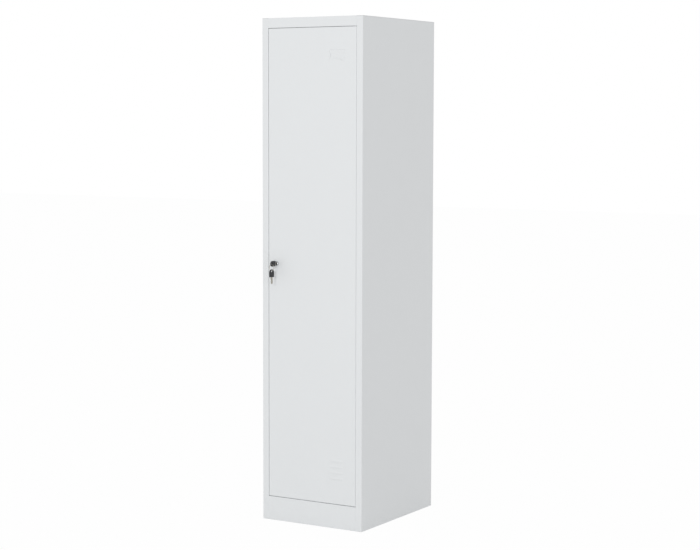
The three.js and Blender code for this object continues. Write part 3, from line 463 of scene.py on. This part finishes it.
def grow(name, tree, values, points=()):  # runs a tree on a few points and keeps the plain mesh
    mesh = bpy.data.meshes.new(name)
    mesh.from_pydata([place for place, _ in points], [], [])
    axis = mesh.attributes.new("axis", "FLOAT_VECTOR", "POINT")
    for i, (_, direction) in enumerate(points):
        axis.data[i].vector = direction
    piece = bpy.data.objects.new(name, mesh)
    scene.collection.objects.link(piece)
    modifier = piece.modifiers.new(name, "NODES")
    modifier.node_group = tree
    for item in tree.interface.items_tree:
        if item.in_out == "INPUT" and item.name in values:
            modifier[item.identifier] = values[item.name]
    return settle(piece)


def pressedLouvresTree():
    tree, given, result = geometryTree("pressedLouvres", {
        "Count": "Int", "Pitch": "Float", "Width": "Float", "Height": "Float", "Rise": "Float", "End": "Float",
        "Columns": "Int", "Rows": "Int", "Start": "Vector", "Material": "Material",
    })
    grid = addNode(tree, "GeometryNodeMeshGrid", {
        "Size X": given["Width"], "Size Y": given["Height"],
        "Vertices X": mathNode(tree, "ADD", given["Columns"], 1),
        "Vertices Y": mathNode(tree, "ADD", given["Rows"], 1),
    })
    position = addNode(tree, "GeometryNodeInputPosition", {}).outputs[0]
    flat = addNode(tree, "ShaderNodeSeparateXYZ", {0: position}).outputs
    up = mathNode(tree, "ADD", flat["Y"], mathNode(tree, "MULTIPLY", given["Height"], 0.5))
    halfWidth = mathNode(tree, "MULTIPLY", given["Width"], 0.5)
    room = mathNode(tree, "SUBTRACT", halfWidth, mathNode(tree, "ABSOLUTE", flat["X"]))
    fromEnd = mathNode(tree, "MINIMUM", mathNode(tree, "DIVIDE", room, given["End"]), 1.0)
    across = mathNode(tree, "SINE", mathNode(tree, "MULTIPLY", fromEnd, math.pi / 2))
    climb = mathNode(tree, "MULTIPLY", mathNode(tree, "DIVIDE", up, given["Height"]), math.pi)
    wave = mathNode(tree, "ADD", mathNode(tree, "COSINE", climb), 1.0)
    root = mathNode(tree, "MULTIPLY", wave, 0.5)
    rise = mathNode(tree, "MULTIPLY", mathNode(tree, "MULTIPLY", across, root), given["Rise"])
    outward = mathNode(tree, "MULTIPLY", rise, -1.0)
    bent = addNode(tree, "ShaderNodeCombineXYZ", {"X": flat["X"], "Y": outward, "Z": up})
    shaped = addNode(tree, "GeometryNodeSetPosition", {
        "Geometry": grid.outputs["Mesh"], "Position": bent.outputs[0],
    })
    step = addNode(tree, "ShaderNodeCombineXYZ", {"Z": given["Pitch"]})
    line = addNode(tree, "GeometryNodeMeshLine", {
        "Count": given["Count"], "Start Location": given["Start"], "Offset": step.outputs[0],
    })
    copies = addNode(tree, "GeometryNodeInstanceOnPoints", {
        "Points": line.outputs["Mesh"], "Instance": shaped.outputs[0],
    })
    return finishTree(tree, copies.outputs[0], given["Material"], result)


def seatedCopiesTree():
    tree, given, result = geometryTree("seatedCopies", {
        "Geometry": "Geometry", "Template": "Object", "Turn": "Float", "Seed": "Int", "Material": "Material",
    })
    template = addNode(tree, "GeometryNodeObjectInfo", {"Object": given["Template"]})
    axis = addNode(tree, "GeometryNodeInputNamedAttribute", {"Name": "axis"}, data_type="FLOAT_VECTOR")
    aligned = addNode(tree, "FunctionNodeAlignRotationToVector", {"Vector": axis.outputs["Attribute"]}, axis="Z")
    chance = addNode(tree, "FunctionNodeRandomValue", {3: given["Turn"], "Seed": given["Seed"]}, data_type="FLOAT")
    spin = addNode(tree, "ShaderNodeCombineXYZ", {"Z": chance.outputs[1]})
    turned = addNode(tree, "FunctionNodeRotateRotation", {0: aligned.outputs[0], 1: spin.outputs[0]},
                     rotation_space="LOCAL")
    copies = addNode(tree, "GeometryNodeInstanceOnPoints", {
        "Points": given["Geometry"], "Instance": template.outputs["Geometry"], "Rotation": turned.outputs[0],
    })
    return finishTree(tree, copies.outputs[0], given["Material"], result)


def splitRingTree():
    tree, given, result = geometryTree("splitRing", {
        "Radius": "Float", "Turns": "Float", "Pitch": "Float", "Wire": "Vector", "Centre": "Vector",
        "Turn Steps": "Int", "Wire Sides": "Int", "Material": "Material",
    })
    height = mathNode(tree, "MULTIPLY", given["Turns"], given["Pitch"])
    coil = addNode(tree, "GeometryNodeCurveSpiral", {
        "Resolution": given["Turn Steps"], "Rotations": given["Turns"], "Start Radius": given["Radius"],
        "End Radius": given["Radius"], "Height": height,
    })
    level = addNode(tree, "GeometryNodeSetCurveNormal", {"Curve": coil.outputs[0]}, mode="Z_UP")
    section = addNode(tree, "GeometryNodeCurvePrimitiveCircle", {"Resolution": given["Wire Sides"], "Radius": 0.5})
    flat = addNode(tree, "GeometryNodeTransform", {"Geometry": section.outputs[0], "Scale": given["Wire"]})
    wire = addNode(tree, "GeometryNodeCurveToMesh", {
        "Curve": level.outputs[0], "Profile Curve": flat.outputs[0], "Fill Caps": True,
    })
    sink = addNode(tree, "ShaderNodeCombineXYZ", {"Z": mathNode(tree, "MULTIPLY", height, -0.5)})
    middle = addNode(tree, "GeometryNodeTransform", {
        "Geometry": wire.outputs[0], "Translation": sink.outputs[0],
    })
    upright = addNode(tree, "GeometryNodeTransform", {
        "Geometry": middle.outputs[0], "Translation": given["Centre"], "Rotation": (math.pi / 2, 0, 0),
    })
    return finishTree(tree, upright.outputs[0], given["Material"], result)


pressedLouvres = pressedLouvresTree()
seatedCopies = seatedCopiesTree()
splitRing = splitRingTree()
print("trees built")


# door: one folded skin with its label holder, louvres and lock hole
doorSkin = {
    "sheet": 0.8, "bend": 2.4, "bendSteps": 6, "depth": 20.0, "lip": 14.0,
    "corner": 2.6, "cornerShrink": 0.8, "cornerLeast": 0.4, "cornerSteps": 4,
    "lockHole": 8.4, "lockHoleSteps": 40, "pivotHole": 2.1, "pivotSteps": 20, "merge": 0.002,
    "closer": {"lock": 0.2, "hinge": 0.2, "head": 0.15, "foot": 0.3},  # nearer to the frame than the solid
}
labelHolder = {
    "width": 63.0, "height": 38.0, "fromHinge": 47.5, "fromTop": 78.6, "depth": 1.2, "wallRun": 1.8, "steps": 10,
    "corner": 2.4, "cornerLeast": 0.4, "cornerSteps": 5,
    "sideTab": {"reach": 5.0, "root": 16.0, "tip": 15.0}, "footTab": {"reach": 6.5, "root": 40.0, "tip": 30.0},
    "tabOver": 1.4, "tabProud": 0.01, "tabEdge": 0.15,  # over the rim, in front of the face, rounding
}
louvres = {
    "count": 4, "pitch": 21.0, "width": 58.0, "height": 10.0, "rise": 1.4, "end": 7.0, "columns": 44, "rows": 14,
    "fromFoot": 89.0,
}
labelX = doorHigh.x - (labelHolder["fromHinge"] + labelHolder["width"] / 2) * mm
labelZ = doorHigh.z - (labelHolder["fromTop"] + labelHolder["height"] / 2) * mm


def foldedDoorRings(bm, s):
    bend, depth, closer = s["bend"], s["depth"], s["closer"]
    turns = quarterTurn(s["bendSteps"])
    path = [(bend - bend * math.sin(t), bend - bend * math.cos(t)) for t in turns]  # inset, depth behind the face
    path += [(bend - bend * math.cos(t), depth - bend + bend * math.sin(t)) for t in turns]
    path.append((s["lip"], depth))
    rings = []
    for inset, deep in path:
        low = (doorLow.x + (inset - closer["lock"]) * mm, doorLow.z + (inset - closer["foot"]) * mm)
        high = (doorHigh.x - (inset - closer["hinge"]) * mm, doorHigh.z - (inset - closer["head"]) * mm)
        radius = max(s["corner"] - inset * s["cornerShrink"], s["cornerLeast"]) * mm
        rings.append(uprightRing(bm, roundedLoop(low, high, radius, s["cornerSteps"]), frontY + deep * mm))
    bridgeRings(bm, rings)
    return rings[0]


def sunkLabelTray(bm, s):
    rings = []
    for i in range(s["steps"] + 1):  # a drawn wall, rounded at the rim and at the floor
        part = i / s["steps"]
        outset = s["wallRun"] * (0.5 - part)
        deep = s["depth"] * (1 - math.cos(math.pi * part)) / 2
        halfX, halfZ = (s["width"] / 2 + outset) * mm, (s["height"] / 2 + outset) * mm
        low, high = (labelX - halfX, labelZ - halfZ), (labelX + halfX, labelZ + halfZ)
        radius = max(s["corner"] + outset, s["cornerLeast"]) * mm
        rings.append(uprightRing(bm, roundedLoop(low, high, radius, s["cornerSteps"]), frontY + deep * mm))
    bridgeRings(bm, rings)
    bm.faces.new(rings[-1])
    return rings[0]


def louvreWindow(bm, s, index):  # the edge where a louvre meets the face, and the straight lip below it
    left, right = labelX - s["width"] / 2 * mm, labelX + s["width"] / 2 * mm
    lip = doorLow.z + (s["fromFoot"] + index * s["pitch"]) * mm
    top = lip + s["height"] * mm
    points = [(right, lip + (top - lip) * i / s["rows"]) for i in range(s["rows"])]
    points += [(right + (left - right) * i / s["columns"], top) for i in range(s["columns"])]
    points += [(left, top + (lip - top) * i / s["rows"]) for i in range(s["rows"])]
    points.append((left, lip))
    return uprightRing(bm, points, frontY)


def labelTabs(s):
    bm = bmesh.new()
    halfX, halfZ = s["width"] / 2 * mm, s["height"] / 2 * mm
    front, back = frontY - s["tabProud"] * mm, frontY + doorSkin["sheet"] * mm
    for tab, place in (
        (s["sideTab"], lambda along, inward: (labelX - halfX + inward, labelZ + along)),
        (s["sideTab"], lambda along, inward: (labelX + halfX - inward, labelZ + along)),
        (s["footTab"], lambda along, inward: (labelX + along, labelZ - halfZ + inward)),
    ):
        root, tip, reach, over = tab["root"] / 2 * mm, tab["tip"] / 2 * mm, tab["reach"] * mm, s["tabOver"] * mm
        outline = [(-root, -over), (root, -over), (root, 0), (tip, reach), (-tip, reach), (-root, 0)]
        points = [place(along, inward) for along, inward in outline]
        closedPrism(bm, uprightRing(bm, points, front), uprightRing(bm, points, back))
    faceOutwards(bm)
    bevelEdges(bm, list(bm.edges), s["tabEdge"])
    mesh = bpy.data.meshes.new("labelTabs")
    bm.to_mesh(mesh)
    bm.free()
    return mesh


def pivotDrill(s):
    bm = bmesh.new()
    hole = s["pivotHole"] * mm
    for word in ("upper", "lower"):
        low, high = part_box(word + "_hinge_pin")
        middle = (low + high) / 2
        points = [(middle.x + hole * x, middle.y + hole * y) for x, y in roundPoints(s["pivotSteps"])]
        closedPrism(bm, levelRing(bm, points, low.z), levelRing(bm, points, high.z))
    faceOutwards(bm)
    return newPiece("pivotDrill", bm, lockerPaint)


def buildDoor():
    pressing = grow("doorPressing", pressedLouvres, {
        "Count": louvres["count"], "Pitch": louvres["pitch"] * mm, "Width": louvres["width"] * mm,
        "Height": louvres["height"] * mm, "Rise": louvres["rise"] * mm, "End": louvres["end"] * mm,
        "Columns": louvres["columns"], "Rows": louvres["rows"], "Material": lockerPaint,
        "Start": (labelX, frontY, doorLow.z + louvres["fromFoot"] * mm),
    })
    bm = bmesh.new()
    bm.from_mesh(pressing.data)
    bpy.data.objects.remove(pressing)
    loops = [foldedDoorRings(bm, doorSkin), sunkLabelTray(bm, labelHolder)]
    loops += [louvreWindow(bm, louvres, i) for i in range(louvres["count"])]
    hole = doorSkin["lockHole"] * mm
    points = [(lockX + hole * x, lockZ + hole * z) for x, z in roundPoints(doorSkin["lockHoleSteps"])]
    loops.append(uprightRing(bm, points, frontY))
    edges = [edge for loop in loops for edge in closedEdges(bm, loop)]
    bmesh.ops.triangle_fill(bm, edges=edges, use_beauty=True, normal=(0, -1, 0))
    bmesh.ops.remove_doubles(bm, verts=bm.verts, dist=doorSkin["merge"] * mm)
    faceOutwards(bm)
    flat = max(bm.faces, key=lambda face: face.calc_area())
    if flat.normal.y > 0:
        bmesh.ops.reverse_faces(bm, faces=bm.faces)
    shadeByAngle(bm)
    door = newPiece("door_skin", bm, lockerPaint)
    wall = door.modifiers.new("sheet", "SOLIDIFY")
    wall.thickness = doorSkin["sheet"] * mm
    wall.offset = -1
    settle(door)
    cutAway(door, pivotDrill(doorSkin))
    tabs = labelTabs(labelHolder)
    bm = bmesh.new()
    bm.from_mesh(door.data)
    bm.from_mesh(tabs)
    bpy.data.meshes.remove(tabs)
    shadeByAngle(bm)
    bm.to_mesh(door.data)
    bm.free()
    return evenShading(door)


seat(buildDoor(), "door", "paint", "door_panel")
print("door made")


# sides: one folded skin each, from the return beside the door to the rear lip
sideSkin = {"sheet": 0.8, "bend": 1.6, "bendSteps": 6, "easing": 0.15}


def foldedRails(corners, s):  # the two faces of a sheet whose middle follows the corners
    radius = (s["bend"] - s["sheet"] / 2) * mm
    path = [Vector(corner) for corner in corners]
    middle = []
    for i, corner in enumerate(path):
        ahead = (path[min(i + 1, len(path) - 1)] - path[min(i, len(path) - 2)]).normalized()
        if i in (0, len(path) - 1):
            middle.append((corner, Vector((-ahead.y, ahead.x))))
            continue
        behind = (corner - path[i - 1]).normalized()
        turn = math.atan2(behind.x * ahead.y - behind.y * ahead.x, behind.dot(ahead))
        side = math.copysign(1, turn)
        inward = Vector((-behind.y, behind.x)) * side
        centre = corner - behind * radius * math.tan(abs(turn) / 2) + inward * radius
        for step in range(s["bendSteps"] + 1):
            spoke = Matrix.Rotation(turn * step / s["bendSteps"], 2) @ inward
            middle.append((centre - spoke * radius, spoke * side))
    half = s["sheet"] / 2 * mm
    return [p + n * half for p, n in middle], [p - n * half for p, n in middle]


def foldedSheet(name, corners, low, high, s):  # a folded section drawn up from one height to another
    bm = bmesh.new()
    rings = [[levelRing(bm, rail, z) for rail in foldedRails(corners, s)] for z in (low, high)]
    bridge(bm, *[left + right[::-1] for left, right in rings])
    for left, right in rings:
        for i in range(len(left) - 1):
            bm.faces.new((left[i], left[i + 1], right[i + 1], right[i]))
    faceOutwards(bm)
    easeEdges(bm, s["easing"])
    return evenShading(newPiece(name, bm, lockerPaint))


def buildSide(word, side, s):
    postLow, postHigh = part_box(word + "_stile")
    lipLow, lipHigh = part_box(word + "_rear_post")
    half = s["sheet"] / 2 * mm
    outer, inner = (postLow.x, postHigh.x) if side < 0 else (postHigh.x, postLow.x)
    outer -= side * half
    inner += side * half
    front, back = postLow.y + half, lipHigh.y - half
    corners = [(inner, postHigh.y), (inner, front), (outer, front), (outer, back), (inner, back),
               (inner, lipLow.y)]
    return foldedSheet(word + "_side", corners, postLow.z, postHigh.z, s)


for word, side in (("left", -1), ("right", 1)):
    nodes = [word + "_side_panel", word + "_stile", word + "_rear_post"]
    seat(buildSide(word, side, sideSkin), "cabinet", "paint", *nodes)
print("sides made")


# the rest of the sheet metal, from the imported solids: node, body, rounding of the cut edges
sheetPieces = {
    "left_stop": ("left_door_stop", "cabinet", 0.2),
    "right_stop": ("right_door_stop", "cabinet", 0.2),
    "back_sheet": ("back_panel", "cabinet", 0.2),
    "top_sheet": ("top_panel", "cabinet", 0.2),
    "kick_plinth": ("plinth", "cabinet", 0.2),
    "floor_sheet": ("floor_panel", "cabinet", 0.2),
    "hat_shelf": ("shelf", "cabinet", 0.2),
    "left_runner": ("left_shelf_runner", "cabinet", 0.2),
    "right_runner": ("right_shelf_runner", "cabinet", 0.2),
    "upper_frame_plate": ("upper_frame_hinge_plate", "cabinet", 0.4),
    "lower_frame_plate": ("lower_frame_hinge_plate", "cabinet", 0.4),
    "upper_door_plate": ("upper_door_hinge_plate", "door", 0.4),
    "lower_door_plate": ("lower_door_hinge_plate", "door", 0.4),
    "door_channel": ("door_stiffener", "door", 0.2),
}
for name, (node, body, width) in sheetPieces.items():
    seat(easedNode(name, node, lockerPaint, width), body, "paint", node)
print("sheet metal made")


# filled seams where the header and the plinth meet the stiles: across the joint, behind the face
filledSeam = {"section": [(-0.4, 0.45), (0.2, 0.55), (0.85, 0.45), (0.6, 1.2), (-0.4, 0.8)], "short": 0.7}


def buildSeams(s):
    bm = bmesh.new()
    header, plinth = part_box("door_panel")[1].z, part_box("plinth")[1].z
    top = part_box("left_stile")[1].z
    for low, high in ((0, plinth - s["short"] * mm), (header + 2 * s["short"] * mm, top)):
        for edge, side in ((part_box("left_stile")[1].x, -1), (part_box("right_stile")[0].x, 1)):
            points = [(edge + side * across * mm, frontY + deep * mm) for across, deep in s["section"]]
            closedPrism(bm, levelRing(bm, points, low), levelRing(bm, points, high))
    faceOutwards(bm)
    shadeByAngle(bm)
    return newPiece("seam_filler", bm, lockerPaint)


seat(buildSeams(filledSeam), "cabinet", "paint")
print("seams filled")


# fittings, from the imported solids: node, body, slot, rounding of the edges
fittings = {
    "left_socket": ("left_rail_socket", "cabinet", "zinc", 0.4),
    "right_socket": ("right_rail_socket", "cabinet", "zinc", 0.4),
    "hanging_rail": ("coat_rail", "cabinet", "chrome", 0.25),
    "upper_pin": ("upper_hinge_pin", "cabinet", "zinc", 0.2),
    "lower_pin": ("lower_hinge_pin", "cabinet", "zinc", 0.2),
    "upper_bush": ("upper_hinge_bush", "door", "nylon", 0.2),
    "lower_bush": ("lower_hinge_bush", "door", "nylon", 0.2),
    "upper_buffer": ("upper_door_buffer", "cabinet", "rubber", 0.3),
    "lower_buffer": ("lower_door_buffer", "cabinet", "rubber", 0.3),
    "fixing_nut": ("lock_nut", "door", "zinc", 0.4),
    "lock_core": ("lock_plug", "lock", "chrome", 0.15),
    "cam_disc": ("cam_washer", "lock", "zinc", 0.15),
    "key_blade": ("lock_key_blade", "key", "nickel", 0.2),
    "spare_blade": ("spare_key_blade", "spare_key", "nickel", 0.2),
    "lock_rose": ("lock_housing", "door", "chrome", 0.3),
}
slotFinish = {
    "zinc": zincPlate, "chrome": chromePlate, "nickel": nickelPlate, "nylon": naturalNylon, "rubber": blackRubber,
}
for name, (node, body, slot, width) in fittings.items():
    seat(easedNode(name, node, slotFinish[slot], width), body, slot, node)
print("fittings made")


# pierced plates with rounded edges: the heads of the keys and the cam
plateRound = {"steps": 4, "merge": 0.0001, "shadeAngle": 50}
keyBow = {
    "length": 28.0, "width": 20.0, "thickness": 5.0, "round": 1.1, "endSteps": 32, "corner": 2.0, "cornerSteps": 6,
    "holeRadius": 4.0, "holeSteps": 24, "rim": 0.3, "holeFromEnd": 6.5, "spareTurn": -15.0,
}
camArm = {"width": 16.0, "thickness": 2.0, "round": 0.35, "endSteps": 24, "holeWidth": 7.6, "rim": 0.2}


def bowOutline(s, inset):
    half, base = s["width"] / 2, s["length"] - s["holeFromEnd"]
    corner, steps = s["corner"] - inset, s["cornerSteps"]
    points = arcPoints(half - s["holeFromEnd"], 0, half - inset, 90, 270, s["endSteps"])
    points += arcPoints(base - s["corner"], s["corner"] - half, corner, 270, 360, steps)
    return points + arcPoints(base - s["corner"], half - s["corner"], corner, 0, 90, steps)


def bowHole(s, inset):
    radius = s["holeRadius"] + inset
    return [(u * radius, v * radius) for u, v in roundPoints(s["holeSteps"])]


def camOutline(s, inset):
    radius, foot = s["width"] / 2 - inset, s["width"] - s["length"]
    return arcPoints(0, 0, radius, 0, 180, s["endSteps"]) + arcPoints(0, foot, radius, 180, 360, s["endSteps"])


def camHole(s, inset):
    half = s["holeWidth"] / 2 + inset
    return [(half, half), (-half, half), (-half, -half), (half, -half)]


def piercedPlate(name, outer, hole, s, place, material):  # outlines in two axes, thick along the middle one
    bm = bmesh.new()
    walls = []
    for outline, radius in ((outer, s["round"]), (hole, s["rim"])):
        turns = quarterTurn(plateRound["steps"])
        edge = [(radius * (1 - math.sin(t)), radius * (1 - math.cos(t))) for t in turns]
        wall = []
        for inset, deep in edge + [(inset, s["thickness"] - deep) for inset, deep in reversed(edge)]:
            points = [(u * mm, v * mm) for u, v in outline(s, inset)]
            wall.append(uprightRing(bm, points, (deep - s["thickness"] / 2) * mm))
        bridgeRings(bm, wall)
        walls.append(wall)
    for end in (0, -1):
        edges = closedEdges(bm, walls[0][end]) + closedEdges(bm, walls[1][end])
        bmesh.ops.triangle_fill(bm, edges=edges, use_beauty=True)
    bmesh.ops.transform(bm, matrix=place, verts=bm.verts)
    bmesh.ops.remove_doubles(bm, verts=bm.verts, dist=plateRound["merge"] * mm)
    faceOutwards(bm)
    shadeByAngle(bm, plateRound["shadeAngle"])
    return evenShading(newPiece(name, bm, material))


def buildBow(name, node, s, turn):  # no turn for the key in the lock, a turn about the upright for the hanging one
    low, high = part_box(node)
    centre = (low + high) / 2
    reach = (s["length"] - s["holeFromEnd"]) * mm  # hole to the base of the head
    swing = Matrix.Identity(4)
    if turn is None:
        centre.y = high.y - reach
    else:
        centre.z = low.z + reach
        swing = Matrix.Rotation(math.radians(turn), 4, "Z") @ Matrix.Rotation(-math.pi / 2, 4, "X")
    along = Matrix(((0, 1, 0, 0), (1, 0, 0, 0), (0, 0, 1, 0), (0, 0, 0, 1)))
    place = Matrix.Translation(centre) @ swing @ along
    return piercedPlate(name, bowOutline, bowHole, s, place, blackPlastic)


def buildCam(s):
    low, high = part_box("lock_cam")
    place = Matrix.Translation((lockX, (low.y + high.y) / 2, lockZ))
    shape = dict(s, length=(high.z - low.z) / mm)
    return piercedPlate("cam_arm", camOutline, camHole, shape, place, zincPlate)


for name, node, body, turn in (("key_bow", "lock_key_head", "key", None),
                               ("spare_bow", "spare_key_head", "spare_key", keyBow["spareTurn"])):
    seat(buildBow(name, node, keyBow, turn), body, "black_plastic", node)
seat(buildCam(camArm), "lock", "zinc", "lock_cam")
print("key heads and cam made")


# key ring: a coil of flattened wire
keyCoil = {"radius": 10.15, "turns": 1.9, "turnSteps": 72, "pitch": 0.52, "wire": (1.3, 0.46), "wireSides": 12}


def buildKeyRing(s):
    low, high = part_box("key_ring")
    return grow("split_ring", splitRing, {
        "Radius": s["radius"] * mm, "Turns": s["turns"], "Pitch": s["pitch"] * mm, "Turn Steps": s["turnSteps"],
        "Wire": (s["wire"][0] * mm, s["wire"][1] * mm, 1.0), "Wire Sides": s["wireSides"],
        "Centre": (low + high) / 2, "Material": nickelPlate,
    })


seat(buildKeyRing(keyCoil), "ring", "nickel", "key_ring")
print("key ring made")


# screws: one pan head with a cross recess, seated at each packed screw
panScrew = {
    "radius": 2.0, "length": 7.0, "tip": 0.3, "head": 3.8, "height": 2.2, "rim": 0.7, "underside": 0.15,
    "crownSteps": 6, "sides": 28, "cross": 0.9, "arm": 2.3, "crossFloor": 0.45, "crossTop": 1.1, "taper": 0.75,
    "seed": 7,
}
screwSets = {
    "panel_screws": ("back_screw", "cabinet", lambda p: (-math.copysign(1, p.x), 0, 0)),
    "shelf_screws": ("shelf_screw", "cabinet", lambda p: (0, 0, 1)),
    "cam_bolt": ("cam_screw", "lock", lambda p: (0, 1, 0)),
}


def crossCutter(s):
    bm = bmesh.new()
    slot, arm = s["cross"] / 2 * mm, s["arm"] * mm
    points = [(arm, slot), (slot, slot), (slot, arm), (-slot, arm), (-slot, slot), (-arm, slot)]
    points += [(-x, -y) for x, y in points]
    floor = levelRing(bm, [(x * s["taper"], y * s["taper"]) for x, y in points], s["height"] * s["crossFloor"] * mm)
    closedPrism(bm, floor, levelRing(bm, points, s["height"] * s["crossTop"] * mm))
    faceOutwards(bm)
    return newPiece("crossCutter", bm, zincPlate)


def screwTemplate(s):
    profile = [(0, -s["length"]), (s["radius"] - s["tip"], -s["length"]), (s["radius"], s["tip"] - s["length"]),
               (s["radius"], 0), (s["head"] - s["underside"], 0), (s["head"], s["underside"])]
    for turn in quarterTurn(s["crownSteps"])[:-1]:
        crown = (s["height"] - s["rim"]) * math.sin(turn)
        profile.append((s["head"] * math.sqrt(math.cos(turn)), s["rim"] + crown))
    bm = latheShell(profile + [(0, s["height"])], s["sides"])
    shadeByAngle(bm)
    screw = newPiece("screwTemplate", bm, zincPlate)
    cutAway(screw, crossCutter(s))
    return screw


def screwPlaces(nodes, axis, s):  # the seat of each head, and the way that it faces
    places = []
    for node in sorted(nodes):
        low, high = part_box(node)
        middle = (low + high) / 2
        direction = Vector(axis(middle))
        reach = max(abs(c) for c in (high - low) * 0.5)
        places.append((middle + direction * (reach - s["height"] * mm), direction))
    return places


def growCopies(name, template, seed, material, places):
    values = {"Template": template, "Turn": math.pi, "Seed": seed, "Material": material}
    return grow(name, seatedCopies, values, places)


template = screwTemplate(panScrew)
for name, (prefix, body, axis) in screwSets.items():
    nodes = [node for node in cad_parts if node.startswith(prefix)]
    copies = growCopies(name, template, panScrew["seed"], zincPlate, screwPlaces(nodes, axis, panScrew))
    seat(copies, body, "zinc", *nodes)
bpy.data.objects.remove(template)
print("screws made")


# spot welds on the flanges of the door channel and of the shelf runners
spotWeld = {
    "radius": 2.6, "rise": 0.18, "sink": 0.1,
    "crater": [(0.8, 1.0), (0.55, 0.5), (0, 0.35)],  # shares of the radius and of the rise
    "sides": 20, "shadeAngle": 60, "doorCount": 12, "doorFromEnd": 45.0, "channelFlange": 7.0,
    "runnerCount": 6, "runnerFromEnd": 22.0, "runnerDrop": 10.0, "seed": 3,
}


def weldTemplate(s):
    profile = [(0, -s["sink"]), (s["radius"], -s["sink"]), (s["radius"], 0)]
    profile += [(s["radius"] * out, s["rise"] * up) for out, up in s["crater"]]
    bm = latheShell(profile, s["sides"])
    shadeByAngle(bm, s["shadeAngle"])
    return newPiece("weldTemplate", bm, lockerPaint)


def spread(count, low, high):
    return [low + (high - low) * i / (count - 1) for i in range(count)]


def channelWelds(s):
    low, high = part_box("door_stiffener")
    end, inset = s["doorFromEnd"] * mm, s["channelFlange"] * mm
    y = low.y + doorSkin["sheet"] * mm
    heights = spread(s["doorCount"], low.z + end, high.z - end)
    return [((x, y, z), (0, 1, 0)) for x in (low.x + inset, high.x - inset) for z in heights]


def runnerWelds(s):
    places = []
    for node, side in (("left_shelf_runner", -1), ("right_shelf_runner", 1)):
        low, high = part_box(node)
        wall = (low.x if side < 0 else high.x) - side * doorSkin["sheet"] * mm
        z, end = high.z - s["runnerDrop"] * mm, s["runnerFromEnd"] * mm
        places += [((wall, y, z), (-side, 0, 0)) for y in spread(s["runnerCount"], low.y + end, high.y - end)]
    return places


template = weldTemplate(spotWeld)
for name, body, places in (("channel_welds", "door", channelWelds(spotWeld)),
                           ("runner_welds", "cabinet", runnerWelds(spotWeld))):
    seat(growCopies(name, template, spotWeld["seed"], lockerPaint, places), body, "paint")
bpy.data.objects.remove(template)
print("spot welds made")


# studio: pale floor, white surround, one soft lamp high in front
studio = {
    "surround": 0.782, "lampPower": 129.0, "lampSize": 1.1, "lampAside": 9.0, "lampUp": 15.5, "lampDistance": 8.0,
    "lampAim": 0.9, "floorSize": 40.0, "floorWhite": 0.965, "floorColour": (0.9, 0.9, 0.9, 1),
    "floorRoughness": 0.9, "floorSpecular": 0.1,
}


def seenMask(tree):  # 1 for what the camera sees, also by way of metal or glass
    path = addNode(tree, "ShaderNodeLightPath", {}).outputs
    seen = mathNode(tree, "MAXIMUM", path["Is Camera Ray"], path["Is Transmission Ray"])
    return mathNode(tree, "MAXIMUM", seen, path["Is Glossy Ray"])


def buildSurround(s):
    world = bpy.data.worlds.new("surround")
    scene.world = world
    world.use_nodes = True
    tree = world.node_tree
    extra = mathNode(tree, "MULTIPLY", seenMask(tree), 1 - s["surround"])
    strength = mathNode(tree, "ADD", extra, s["surround"])
    setInputs(tree, tree.nodes["Background"], {"Color": (1, 1, 1, 1), "Strength": strength})


def buildLamp(s):
    lamp = bpy.data.lights.new("softLamp", "AREA")
    lamp.energy = s["lampPower"]
    lamp.size = s["lampSize"]
    holder = bpy.data.objects.new("softLamp", lamp)
    aside, up = math.radians(s["lampAside"]), math.radians(s["lampUp"])
    towards = Vector((math.sin(aside) * math.cos(up), -math.cos(aside) * math.cos(up), math.sin(up)))
    place = Vector((0, frontY, s["lampAim"])) + towards * s["lampDistance"]
    holder.matrix_world = Matrix.Translation(place) @ towards.to_track_quat("Z", "Y").to_matrix().to_4x4()
    scene.collection.objects.link(holder)


def buildFloor(s):
    material = bpy.data.materials.new("paleFloor")
    material.use_nodes = True
    tree = material.node_tree
    matt = tree.nodes["Principled BSDF"]
    setInputs(tree, matt, {
        "Base Color": s["floorColour"], "Roughness": s["floorRoughness"], "Specular IOR Level": s["floorSpecular"],
    })
    glow = addNode(tree, "ShaderNodeEmission", {})
    share = mathNode(tree, "MULTIPLY", seenMask(tree), s["floorWhite"])
    mix = addNode(tree, "ShaderNodeMixShader", {0: share, 1: matt.outputs[0], 2: glow.outputs[0]})
    setInputs(tree, tree.nodes["Material Output"], {"Surface": mix.outputs[0]})
    bm = bmesh.new()
    bmesh.ops.create_grid(bm, x_segments=1, y_segments=1, size=s["floorSize"] / 2)
    floor = newPiece("studio_floor", bm, material)


buildSurround(studio)
buildLamp(studio)
buildFloor(studio)
print("studio set")
